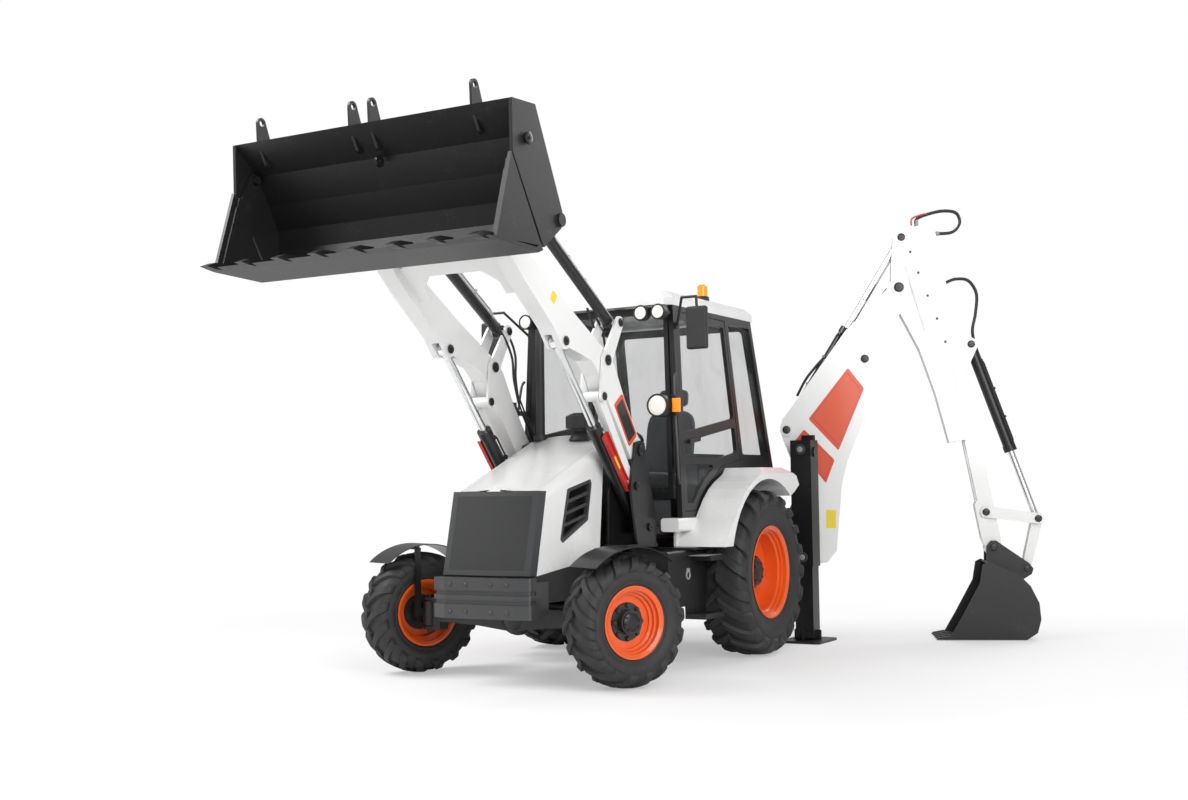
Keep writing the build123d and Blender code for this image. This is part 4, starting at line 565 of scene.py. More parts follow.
@dataclass(frozen=True)
class Glazing(Finish):
    """Lightly tinted window or lamp glass, seen through by its alpha."""

    alpha: float = 0.3
    roughness: float = 0.03
    glow: float = 0.0

    def build(self, shader: Shader) -> bpy.types.Material:
        """Faint smears vary the roughness and the alpha."""
        smear = shader.noise(6.0, 4.0, 0.6, (1.0, 1.0, 0.4)).between(0.5, 0.8)
        material = shader.surface(
            Base_Color=shader.mix(smear * 0.15, self.colour, self.scaled(1.3, 0.01)),
            Roughness=(smear * 0.05 + self.roughness).clamped(),
            Alpha=(smear * 0.04 + self.alpha).clamped(), Coat_Weight=0.6, Coat_Roughness=0.02)
        if self.glow:
            shader.surface(Emission_Color=(*self.colour, 1.0), Emission_Strength=self.glow)
        return material


@dataclass(frozen=True)
class SeatCloth(Finish):
    """Woven seat cloth: crossed threads with a soft sheen."""

    threads: float = 900.0

    def build(self, shader: Shader) -> bpy.types.Material:
        """Two sine waves square to each other make the weave's height and shade."""
        x, y, z = shader.parts(shader.place())
        warp = (x * self.threads).maths("SINE")
        weft = ((y + z) * self.threads).maths("SINE")
        weave = (warp * weft * 0.5 + 0.5).clamped()
        return shader.surface(
            Base_Color=shader.mix(weave * 0.5, self.colour, self.scaled(2.2)),
            Roughness=(weave * 0.1 + 0.8).clamped(), Sheen_Weight=0.3,
            Normal=shader.bump(weave, 0.0004, 0.6))


@dataclass(frozen=True)
class WheelPaint(Finish):
    """Rim paint with a dark hub: the colour changes at a radius from the wheel's axle."""

    centre: tuple
    axis: tuple
    hub: float
    dark: Colour = (0.016, 0.016, 0.017)

    def build(self, shader: Shader) -> bpy.types.Material:
        """The distance from the axle is the length of the offset crossed with the axis."""
        offset = shader.node("ShaderNodeVectorMath", {"operation": "SUBTRACT"},
                             {0: shader.place(), 1: self.centre})
        square = shader.node("ShaderNodeVectorMath", {"operation": "CROSS_PRODUCT"},
                             {0: offset, 1: self.axis})
        reach = shader.node("ShaderNodeVectorMath", {"operation": "LENGTH"}, {0: square},
                            output="Value")
        cloud = shader.noise(7.0, 4.0)
        inner = 1.0 - reach.between(self.hub - 0.0005, self.hub + 0.0005)
        tone = shader.mix(cloud.between(0.4, 0.75) * 0.35, self.colour, self.scaled(0.72))
        return shader.surface(
            Base_Color=shader.mix(inner, tone, self.dark),
            Roughness=(cloud * 0.14 + 0.26 + inner * 0.12).clamped(), Coat_Weight=0.35,
            Normal=shader.bump(shader.noise(380.0, 2.0), 0.00012, 0.4))


@dataclass(frozen=True)
class WireMesh(Finish):
    """Dark moulded frame whose front holds a fine pressed mesh."""

    pitch: float = 0.011
    window: tuple = (0.335, 0.845, 1.385)    # half width, low and high edge

    def build(self, shader: Shader) -> bpy.types.Material:
        """Holes lie where sin(y) sin(z), of waves one pitch long, is high, inside the window."""
        _, y, z = shader.parts(shader.place())
        half, low, high = self.window
        wave = 2.0 * math.pi / self.pitch
        holes = ((y * wave).maths("SINE") * (z * wave).maths("SINE")).between(-0.15, 0.15)
        inside = ((y.maths("ABSOLUTE") < half) * (z > low) * (z < high)) * holes
        fade = shader.noise(4.0, 3.0)
        return shader.surface(
            Base_Color=shader.mix(inside * 0.85, self.colour, (0.004, 0.004, 0.004)),
            Roughness=(fade * 0.12 + 0.42 + inside * 0.2).clamped(),
            Normal=shader.bump(1.0 - inside, 0.0015, 0.8))


class Finishes(Enum):
    """The finishes in use: name, colour, slot, then what is the finish's own."""

    WHITE = Paint("white_enamel", (0.80, 0.80, 0.795), "white_paint")
    PANEL = Paint("white_panel_enamel", (0.82, 0.82, 0.815), "white_panel", 0.26, 0.7, 0.12)
    ORANGE = Paint("orange_enamel", (0.66, 0.062, 0.006), "orange_paint", 0.34, 0.3, 0.06)
    RED = Paint("red_enamel", (0.55, 0.025, 0.018), "orange_paint", 0.35, 0.4, 0.1)
    YELLOW = Paint("yellow_enamel", (0.85, 0.62, 0.02), "orange_paint", 0.4, 0.3, 0.1)
    BLACK = Paint("black_enamel", (0.008, 0.008, 0.0085), "black_paint", 0.36, 0.12, 0.14,
                  dust_colour=(0.10, 0.095, 0.09))
    GREY = Paint("dark_grey_enamel", (0.045, 0.046, 0.048), "grey_paint", 0.42, 0.2, 0.2,
                 dust_colour=(0.16, 0.15, 0.14))
    CAST = Steel("cast_steel", (0.030, 0.030, 0.031), "cast")
    BUCKET = Steel("bucket_steel", (0.010, 0.010, 0.0105), "black_paint", 0.42, 0.30,
                   (0.09, 0.09, 0.09))
    BOLT = Steel("zinc_bolt", (0.30, 0.30, 0.30), "cast", 0.38, 0.4, (0.45, 0.45, 0.44))
    BLACK_PLASTIC = Plastic("black_moulding", (0.014, 0.014, 0.015), "black_plastic", 0.5)
    GREY_PLASTIC = Plastic("grey_moulding", (0.042, 0.043, 0.046), "grey_plastic", 0.52)
    HOSE = Plastic("hose_rubber", (0.012, 0.012, 0.013), "black_plastic", 0.42)
    TYRE = Rubber("tyre_rubber", (0.022, 0.022, 0.023), "tyre")
    CHROME = Chrome("chromed_rod", (0.80, 0.81, 0.82), "rod_chrome")
    WINDOW = Glazing("tinted_glass", (0.055, 0.060, 0.062), "window", 0.13)
    AMBER = Glazing("amber_lens", (0.95, 0.30, 0.01), "amber", 0.92, 0.15, 0.25)
    STEEL_LINE = Steel("plated_pipe", (0.42, 0.42, 0.41), "rod_chrome", 0.3, 0.3,
                       (0.55, 0.55, 0.54))
    MIRROR = Glazing("mirror_glass", (0.50, 0.52, 0.54), "lamp_glass", 0.96, 0.02)
    LENS = Glazing("clear_lens", (0.95, 0.93, 0.86), "lamp_glass", 0.72, 0.04, 0.35)
    MESH = WireMesh("grille_mesh", (0.040, 0.041, 0.043), "grey_plastic")
    CLOTH = SeatCloth("seat_cloth", (0.030, 0.031, 0.034), "seat_fabric")


def piece(name: str, surface: Surface, finish: Finishes, body: str,
          replaces: Sequence[str] = (), smooth: float = 35.0) -> bpy.types.Object:
    """A finished piece of the scene on its body.

    Args:
        name: the piece's name.
        surface: its shape, in the frame's axes.
        finish: its finish.
        body: the body that it moves with.
        replaces: CAD nodes that it stands for.
        smooth: faces that meet at less than this angle, in degrees, are shaded as one.

    Returns:
        bpy.types.Object: the object.
    """
    mesh = bpy.data.meshes.new(name)
    mesh.from_pydata(surface.points.tolist(), [], surface.faces)
    mesh.polygons.foreach_set("use_smooth", np.ones(len(mesh.polygons), bool))
    mesh.set_sharp_from_angle(angle=math.radians(smooth))
    mesh.materials.append(finish.value.material)
    made = bpy.data.objects.new(name, mesh)
    bpy.context.scene.collection.objects.link(made)
    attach(made, body)
    if replaces:
        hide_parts(*replaces)
    log.info("%s on %s: %d faces", name, body, len(surface.faces))
    return made


# ============================================================== the machine's planes
SWING_PIN = (-1.360, 0.520)
SWING_REST = math.radians(112.0)
DIG_OUT = (math.cos(SWING_REST), math.sin(SWING_REST), 0.0)
DIG_SIDE = (math.sin(SWING_REST), -math.cos(SWING_REST), 0.0)
DIG = Place((*SWING_PIN, 0.0), DIG_OUT, DIG_SIDE)    # local (out, up, across)
SIDE = Place(ORIGIN, X_AXIS, (0.0, -1.0, 0.0))       # local (x, z, -y)
FORWARD = Place(ORIGIN, Y_AXIS, X_AXIS)               # local (y, z, x)


def hex_head(radius: float, height: float) -> Surface:
    """A six-sided bolt head with a chamfered top, from the local plane upwards."""
    return plate(circle(radius, 6), -0.001, height, height * 0.25)


def pin_cap(radius: float, height: float) -> Surface:
    """A pin's end: a domed disc whose radius falls off as it rises, with a bolt on it."""
    line = [(radius * 0.55, height), (radius * 0.86, height * 0.92), (radius, height * 0.6),
            (radius, -0.001)]
    return lathe(line, 28) + Place((0, 0, height)).carry(hex_head(radius * 0.28, radius * 0.18))


def facing_forward(x: float, y: float, z: float) -> Place:
    """Axes at a point of the frame, with z ahead, x to the machine's left and y up."""
    return Place((x, y, z), FORWARD.x, FORWARD.z)


def span(plane: Place, nodes: Sequence[str], spot: Point, radius: float) -> tuple[float, float]:
    """How far the CAD's nodes reach along a plane's normal, round a spot on the plane.

    Args:
        plane: the plane; for the SIDE plane only the machine's left half counts.
        nodes: the nodes' names.
        spot: (a, b) on the plane.
        radius: only vertices within this distance of the spot's normal count.

    Returns:
        tuple: the least and the greatest height.
    """
    heights = []
    for node in nodes:
        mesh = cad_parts[node].data
        flat = np.empty(len(mesh.vertices) * 3)
        mesh.vertices.foreach_get("co", flat)
        points = flat.reshape(-1, 3)
        points = points[points[:, 1] > 0.0] if plane is SIDE else points
        local = (points - np.array(plane.origin)) @ plane.axes().T
        away = np.linalg.norm(local[:, :2] - np.array(spot, float), axis=1)
        heights.append(local[away < radius, 2])
    found = np.concatenate(heights)
    return float(found.min()), float(found.max())


@dataclass(frozen=True)
class Pin:
    """A hinge pin's head: its body, its spot on a plane, its radius, the nodes it goes through."""

    body: str
    spot: tuple
    radius: float
    nodes: tuple

    def heads(self, plane: Place) -> Surface:
        """Caps on the outermost faces of the nodes round the pin."""
        low, high = span(plane, self.nodes, self.spot, self.radius * 1.9)
        ends = [Place((*self.spot, height), X_AXIS, (0.0, 0.0, up))
                for height, up in ((high, 1.0), (low, -1.0))]
        return together([plane.carry(end.carry(pin_cap(self.radius, 0.010))) for end in ends])


def box(low: Point, high: Point, edge: float = 0.003) -> Surface:
    """A block with chamfered upright edges between two corners of the frame's axes."""
    corners = [(low[0], low[1]), (high[0], low[1]), (high[0], high[1]), (low[0], high[1])]
    return plate(rounded(corners, edge, 3), low[2], high[2], min(edge, 0.002))


PIPE_OFF = 0.024         # a pipe's middle stands this far off the barrel
PIPE_FOOT = 0.014        # and this far off at the block that it comes from
PIPE_SUNK = 0.8          # it starts inside the barrel, at this share of the radius
PIPE_BEND, PIPE_STRAIGHT = 0.03, 0.10    # along the barrel, to the bend and past it
CLAMPS = (0.35, 0.7)     # shares of the pipe's length at which it is clamped


def pipe_run(plane: Place, base: Point, eye: Point, radius: float, start: float, end: float,
             lean: float, bore: float = 0.0075) -> Surface:
    """A thin steel pipe along a cylinder's barrel, bent into a block at both ends.

    Args:
        plane: the cylinder's plane.
        base: its base pin.
        eye: its rod's eye.
        radius: the barrel's radius.
        start: where the pipe starts, in metres from the base pin.
        end: where it ends.
        lean: angle of the pipe round the barrel, from the plane, in radians.
        bore: the pipe's own radius.

    Returns:
        Surface: the pipe with its blocks and two clamps.
    """
    along = unit(np.array([eye[0] - base[0], eye[1] - base[1], 0.0]))
    side = np.array([-along[1], along[0], 0.0]) * math.cos(lean) + np.array((0, 0, math.sin(lean)))
    foot = np.array([base[0], base[1], 0.0])

    def spot(way: float, off: float) -> Array:
        """A point that far along the axis and that far off it."""
        return foot + along * way + side * off

    ways = (start, start, start + PIPE_BEND, start + PIPE_STRAIGHT, 0.5 * (start + end),
            end - PIPE_STRAIGHT, end - PIPE_BEND, end, end)
    rise = (radius * PIPE_SUNK, radius + PIPE_FOOT)
    offs = (*rise, *([radius + PIPE_OFF] * 5), *rise[::-1])
    parts = [hose([spot(*both) for both in zip(ways, offs)], bore, 10)]
    clamps = [start + share * (end - start) for share in CLAMPS]
    # places along the barrel, depth below its face, outline, height
    for places, depth, outline, high in (
            ((start, end), 0.006, rectangle(0.020, 0.016, 0.004), 0.020),
            (clamps, 0.004, rectangle(0.011, 0.018, 0.003), 0.038)):
        for way in places:
            turned = Place(tuple(spot(way, radius - depth)), tuple(along), tuple(side))
            parts.append(turned.carry(plate(outline, 0.0, high)))
    return plane.carry(together(parts))


def pad(size: Point, centre: Point, lean: float = 0.0, power: float = 4.5,
        rows: int = 36) -> Surface:
    """A crowned soft block: the superellipsoid |x/a|^n + |y/b|^n + |z/c|^n = 1.

    A point in the direction d is d times (|dx|^n + |dy|^n + |dz|^n)^(-1/n), then stretched.

    Args:
        size: half lengths (a, b, c).
        centre: its middle.
        lean: turn about the y axis, in radians.
        power: n; a larger one is squarer.
        rows: rings between the poles.

    Returns:
        Surface: the closed pad.
    """
    polar = np.linspace(0.02, np.pi - 0.02, rows)[:, None]
    turn = np.linspace(0, 2 * np.pi, 2 * rows, endpoint=False)[None, :]
    ray = np.stack([np.sin(polar) * np.cos(turn), np.sin(polar) * np.sin(turn),
                    np.broadcast_to(np.cos(polar), (rows, 2 * rows))], axis=-1)
    reach = np.sum(np.abs(ray) ** power, axis=-1, keepdims=True) ** (-1 / power)
    shaped = capped(grid(ray * reach * np.array(size, float), close_columns=True), 2 * rows)
    return Place(tuple(centre), (math.cos(lean), 0.0, -math.sin(lean)),
                 (math.sin(lean), 0.0, math.cos(lean))).carry(shaped)


# ============================================================== wheels
class Wheel(Enum):
    """The four wheels, by the names of their nodes."""

    FRONT_LEFT = ("front_left", True, 1)
    FRONT_RIGHT = ("front_right", True, -1)
    REAR_LEFT = ("rear_left", False, 1)
    REAR_RIGHT = ("rear_right", False, -1)


@dataclass
class TyreSize:
    """Sizes of one tyre and its rim, in metres."""

    radius: float
    width: float
    rim: float            # radius of the rim's edge
    half_rim: float       # half of the rim's width
    hub: float            # radius of the hub
    hub_reach: float      # how far out the hub comes from the wheel's middle
    disc: float           # how far out the wheel's disc lies
    lug: float            # height of a lug
    lugs: int
    steps: int = 96
    crown: float = 0.62   # share of the half width that the flat crown takes


FRONT = TyreSize(radius=0.475, width=0.316, rim=0.262, half_rim=0.127, hub=0.088,
                 hub_reach=0.104, disc=0.020, lug=0.026, lugs=17)
REAR = TyreSize(radius=0.704, width=0.420, rim=0.392, half_rim=0.186, hub=0.118,
                hub_reach=0.070, disc=-0.020, lug=0.034, lugs=20)


@dataclass
class WheelSet:
    """Tyres with heavy lugs, dark hubs and painted rims on all four wheels."""

    wheelbase: float = 2.200
    front_track: float = 1.962
    rear_track: float = 1.918
    kingpin: float = 0.169
    steer: float = math.radians(-24.5)

    def place(self, wheel: Wheel) -> Place:
        """Axes of a wheel: its centre, with z out along its axle.

        A front wheel's axle is turned by the steer about its kingpin's upright axis.

        Args:
            wheel: which wheel.

        Returns:
            Place: its axes.
        """
        _, front, side = wheel.value
        if not front:
            return Place((0.0, side * self.rear_track / 2, REAR.radius), X_AXIS,
                         (0.0, float(side), 0.0))
        out = (-math.sin(self.steer) * side, math.cos(self.steer) * side, 0.0)
        pivot = side * (self.front_track / 2 - self.kingpin)
        return Place((self.wheelbase + self.kingpin * out[0], pivot + self.kingpin * out[1],
                      FRONT.radius), (math.cos(self.steer), math.sin(self.steer), 0.0), out)

    def carcass(self, size: TyreSize) -> Array:
        """The tyre's outer line, (across, radius), from one bead over the crown to the other.

        Half of it is a smooth line through seven points; the other half mirrors it.

        Args:
            size: the tyre's sizes.

        Returns:
            Array: the line's points.
        """
        half, top = size.width / 2, size.radius - size.lug
        bead, seat = size.rim - 0.020, size.half_rim - 0.014
        rise = top - bead
        points = [(0.0, top, 0), (half * size.crown, top - 0.010, 0),
                  (half * 0.90, top - 0.036, 0), (half * 0.985, top - 0.40 * rise, 0),
                  (half * 0.97, bead + 0.36 * rise, 0), (seat + 0.010, bead + 0.13 * rise, 0),
                  (seat + 0.004, bead + 0.012, 0)]
        line = smooth_line(points, 6)[:, :2]
        return np.vstack([line[::-1], line[1:] * (-1, 1)])

    def lug_blocks(self, size: TyreSize, line: Array) -> Surface:
        """Every lug of a tyre, as one array of blocks.

        A lug follows the carcass line from just past the crown's middle to below the
        shoulder. Its angle round the tyre grows with the way along it, its height falls
        to nothing at its foot, and its section is a bar with sloping flanks.

        Args:
            size: the tyre's sizes.
            line: its outer line.

        Returns:
            Surface: the lugs of both halves.
        """
        middle = len(line) // 2
        half = line[middle:] * (-1, 1)
        run = np.concatenate([[0], np.cumsum(np.linalg.norm(np.diff(half, axis=0), axis=1))])
        shoulder = np.interp(size.width / 2 * 0.90, half[:14, 0], run[:14])
        s = np.concatenate([np.linspace(-0.012, shoulder, 7),
                            np.linspace(shoulder, shoulder + size.width * 0.17, 5)[1:]])
        across, radius = (np.interp(np.abs(s), run, half[:, i]) for i in (0, 1))
        across = across * np.sign(s + 1e-9)
        slope = np.gradient(np.stack([across, radius], -1), axis=0)
        normal = unit(np.stack([-slope[:, 1], slope[:, 0]], -1))
        reach = (s - s[0]) / (s[-1] - s[0])
        rise = size.lug * (1 - 0.10 * reach) * np.clip((1 - reach) * 7, 0.05, 1) ** 0.6
        lift = np.minimum(rise, (size.radius - radius) / np.maximum(normal[:, 1], 0.35))
        bend = 1.05 * reach ** 0.85 * (2 * np.pi / size.lugs)
        wide = 0.5 * (0.30 + 0.16 * reach) * (2 * np.pi / size.lugs)
        # section: base, foot of flank, top edge, top edge, foot of flank, base
        flank = np.array([-1.32, -1.0, -0.86, 0.86, 1.0, 1.32])
        level = np.array([-0.25, 0.55, 1.0, 1.0, 0.55, -0.25])
        along = across[:, None] + normal[:, :1] * lift[:, None] * level
        out = radius[:, None] + normal[:, 1:] * lift[:, None] * level
        turn = bend[:, None] + wide[:, None] * flank
        parts = []
        for side, start in ((1, 0.0), (-1, 0.5)):
            base = (np.arange(size.lugs) + start) * 2 * np.pi / size.lugs
            angle = base[:, None, None] + turn[None]
            block = np.stack([out * np.cos(angle), out * np.sin(angle),
                              np.broadcast_to(along * side, angle.shape)], -1)
            for one in block:
                bar = capped(grid(one, close_columns=True), 6)
                parts.append(bar if side > 0 else bar.turned_over())
        return together(parts)

    def tyre(self, size: TyreSize) -> Surface:
        """Carcass with its bead ribs and lugs, round the local z axis.

        Args:
            size: the tyre's sizes.

        Returns:
            Surface: the tyre.
        """
        line = self.carcass(size)
        seat, bead = size.half_rim - 0.014, size.rim - 0.024
        inner = np.array([(-seat + 0.012, bead - 0.002), (-seat + 0.05, bead + 0.008),
                          (seat - 0.05, bead + 0.008), (seat - 0.012, bead - 0.002)])
        loop = np.vstack([line, inner])
        body = lathe(loop[:, ::-1], size.steps, closed=True)
        ribs = []
        for side in (1, -1):
            for share, high in ((0.20, 0.004), (0.52, 0.003)):
                radius = bead + share * (size.radius - bead)
                along = np.interp(radius, line[:len(line) // 2, 1], line[:len(line) // 2, 0])
                ring = circle(high, 8) * (1.6, 1.0) + (radius, abs(float(along)) * side)
                ribs.append(lathe(ring, size.steps, closed=True))
        return together([body, self.lug_blocks(size, line), *ribs])

    def hub(self, size: TyreSize) -> Surface:
        """Hub cap with its ring of screws, and the wheel's nuts, on the outer side.

        Args:
            size: the tyre's sizes.

        Returns:
            Surface: all of them, round the local z axis.
        """
        top = size.hub_reach
        parts = [lathe([(size.hub * 0.30, top + 0.006), (size.hub * 0.62, top + 0.003),
                        (size.hub * 0.78, top - 0.006), (size.hub * 0.80, top - 0.020)], 40)]
        nut = plate(circle(0.019, 6), 0.001, 0.016, 0.003)
        # first angle, radius of the ring, height, shape
        for first, ring, high, shape in (
                (0.2, size.hub * 0.70, top + 0.0005, hex_head(0.009, 0.007)),
                (0.0, size.hub + 0.032, size.disc + 0.0155, nut)):
            for angle in np.arange(8) * math.pi / 4 + first:
                turn = (math.cos(angle), math.sin(angle))
                spot = (turn[0] * ring, turn[1] * ring, high)
                parts.append(Place(spot, (*turn, 0.0)).carry(shape))
        return together(parts)

    def dress(self) -> None:
        """Puts a tyre, a hub and the rim's finish on each wheel."""
        for wheel in Wheel:
            name, front, _ = wheel.value
            size = FRONT if front else REAR
            place, body = self.place(wheel), f"{name}_wheel"
            piece(f"tyre_with_lugs_{name}", place.carry(self.tyre(size)), Finishes.TYRE, body,
                  (f"tyre_{name}",), 40.0)
            piece(f"hub_cap_{name}", place.carry(self.hub(size)), Finishes.BLACK, body)
            give(f"rim_{name}", WheelPaint(f"rim_enamel_{name}", (0.80, 0.105, 0.012),
                                           "orange_paint", place.origin, place.z,
                                           size.hub + 0.052))


def give(node: str, finish: Finish) -> None:
    """Gives a CAD node's object a finish."""
    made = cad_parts[node]
    if made.material_slots:
        for slot in made.material_slots:
            slot.material = finish.material
    else:
        made.data.materials.append(finish.material)


# ============================================================== the CAD's own nodes
@dataclass
class Bodywork:
    """Finishes of the CAD nodes that show as they are."""

    finishes: dict = field(default_factory=lambda: {
        Finishes.PANEL: ("hood", "rear_fenders", "cab_roof"),
        Finishes.WHITE: ("loader_arms", "tilt_levers", "levelling_links", "boom",
                         "dipper_outer", "dipper_inner", "tipping_levers", "bucket_link",
                         "kingpost"),
        Finishes.BLACK: ("main_frame", "front_axle", "rear_axle", "side_tanks", "cab_frame",
                         "door_left", "door_right", "rear_frame", "carriage",
                         "stabiliser_left", "stabiliser_right", "lift_barrels",
                         "tilt_barrels", "boom_barrel", "dipper_barrel", "bucket_barrel",
                         "knuckle_left", "knuckle_right", "tie_rod", "carrier_pins"),
        Finishes.BUCKET: ("loader_bucket", "bucket_clam", "digging_bucket"),
        Finishes.GREY: ("front_weight",),
        Finishes.MESH: ("front_grille",),
        Finishes.GREY_PLASTIC: ("cab_floor",),
        Finishes.BLACK_PLASTIC: ("mirrors", "lamps"),
        Finishes.CAST: ("engine_block", "stack_and_cleaner"),
        Finishes.WINDOW: ("cab_windows", "door_left_glass", "door_right_glass"),
        Finishes.CHROME: ("lift_rods", "tilt_rods", "boom_rod", "dipper_rod", "bucket_rod"),
        Finishes.AMBER: ("beacon",),
    })

    def dress(self) -> None:
        """Gives every listed node its finish, and says which nodes no class takes up."""
        taken = {"seat"} | {f"{kind}_{wheel.value[0]}" for kind in ("tyre", "rim")
                            for wheel in Wheel}
        for finish, nodes in self.finishes.items():
            taken.update(nodes)
            for node in nodes:
                give(node, finish.value)
        log.info("bodywork: nodes left plain: %s", sorted(set(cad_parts) - taken))


# ============================================================== loader
@dataclass
class Loader:
    """Pin caps, blank panels and hoses of the loader linkage."""

    pins: tuple = (
        Pin("machine", (1.338, 1.728), 0.042, ("main_frame", "loader_arms")),
        Pin("machine", (1.402, 1.448), 0.034, ("main_frame", "levelling_links")),
        Pin("levers", (1.840, 2.412), 0.042, ("tilt_levers",)),
        Pin("levers", (1.904, 2.132), 0.032, ("tilt_levers",)),
        Pin("levers", (1.635, 2.720), 0.034, ("tilt_levers",)),
        Pin("arms", (2.417, 2.516), 0.036, ("loader_arms",)),
        Pin("arm_tip", (3.400, 3.374), 0.036, ("loader_bucket", "carrier_pins")),
        Pin("shovel", (3.195, 3.682), 0.032, ("loader_bucket", "carrier_pins")),
        Pin("lift_cylinder", (1.200, 1.120), 0.032, ("lift_barrels", "main_frame")),
        Pin("clam", (3.829, 3.651), 0.042, ("bucket_clam", "loader_bucket")))
    lift: tuple = ((1.200, 1.120), (2.417, 2.516))
    tilt: tuple = ((1.635, 2.720), (3.195, 3.682))
    lift_y: float = 0.505
    arm_y: float = 0.519
    tower_y: tuple = (0.395, 0.420)
    # pieces made of strips: name, finish, body, then each strip's start, end, half width,
    # inner face and outer face
    strips: tuple = (
        ("arm_panel_border", Finishes.ORANGE, "arms",
         (((1.405, 1.800), (1.640, 2.125), 0.082, 0.588, 0.5902),)),
        ("arm_panel", Finishes.BLACK, "arms",
         (((1.425, 1.828), (1.620, 2.097), 0.062, 0.589, 0.5912),)),
        ("arm_yellow_label", Finishes.YELLOW, "arms",
         (((2.545, 2.800), (2.605, 2.838), 0.040, 0.588, 0.5898),)),
        ("safety_strut", Finishes.RED, "lift_cylinder",
         (((1.470, 1.430), (1.830, 1.843), 0.034, 0.561, 0.572),
          ((1.446, 1.452), (1.806, 1.865), 0.004, 0.561, 0.592),
          ((1.494, 1.408), (1.854, 1.821), 0.004, 0.561, 0.592))),
        ("safety_strut_label", Finishes.YELLOW, "lift_cylinder",
         (((1.600, 1.580), (1.680, 1.672), 0.022, 0.572, 0.5728),)))

    def strip(self, start: Point, end: Point, half: float, low: float, high: float) -> Surface:
        """A narrow plate on the left arm's side.

        Args:
            start: one end of its middle line, (x, z).
            end: the other end.
            half: half of its width.
            low: how far from the machine's middle its inner face is.
            high: how far its outer face is.

        Returns:
            Surface: the plate.
        """
        first, last = np.array(start, float), np.array(end, float)
        ahead = unit(last - first)
        across = np.array([-ahead[1], ahead[0]]) * half
        line = rounded([first - across, last - across, last + across, first + across],
                       half * 0.3, 4)
        return SIDE.carry(plate(line, -high, -low, 0.0006))

    def pipes(self) -> None:
        """Pipes along the four cylinders of the linkage."""
        # cylinder, its pins, its y, the barrel's radius, start and end, lean, finish, body
        for name, pins, y, radius, start, end, lean, finish, body in (
                ("lift", self.lift, self.lift_y, 0.052, 0.20, 0.93, 0.35, Finishes.BLACK,
                 "lift_cylinder"),
                ("tilt", self.tilt, self.arm_y, 0.046, 0.18, 0.98, 0.15, Finishes.STEEL_LINE,
                 "levers")):
            pipe = pipe_run(Place((0.0, y, 0.0), SIDE.x, SIDE.z), *pins, radius, start, end, lean)
            piece(f"{name}_cylinder_pipes", pipe.both_sides(), finish, body)

    def hoses(self) -> None:
        """Hoses up the tower to the arms, and short ones from the arms to the tilt cylinders."""
        tower = [hose([(1.02, y, 1.15), (1.06, y + 0.012, 1.34), (1.16, y + 0.02, 1.52),
                       (1.22, y + 0.010, 1.72), (1.36, y, 1.93), (1.45, y, 2.06)], 0.011)
                 for y in self.tower_y]
        arm = [hose([(1.50, 0.425, 2.16), (1.545, 0.420, 2.34), (1.54, 0.424, 2.52),
                     (1.60, 0.436, 2.66), (1.72, 0.452, 2.755)], 0.010),
               hose([(1.53, 0.405, 2.14), (1.60, 0.402, 2.33), (1.61, 0.410, 2.50),
                     (1.70, 0.424, 2.66), (1.86, 0.452, 2.82)], 0.010)]
        steel = [hose([(1.45, y, 2.06), (1.52, y, 2.16)], 0.0075) for y in self.tower_y]
        piece("tower_hoses", together(tower).both_sides(), Finishes.HOSE, "machine")
        piece("lever_hoses", together(arm + steel).both_sides(), Finishes.HOSE, "arms")

    def dress(self) -> None:
        """Builds the linkage's fittings."""
        for number, pin in enumerate(self.pins):
            piece(f"linkage_pin_heads_{number}", pin.heads(SIDE).both_sides(), Finishes.BLACK,
                  pin.body)
        for name, finish, body, strips in self.strips:
            piece(name, together([self.strip(*one) for one in strips]).both_sides(), finish,
                  body)
        self.pipes()
        self.hoses()


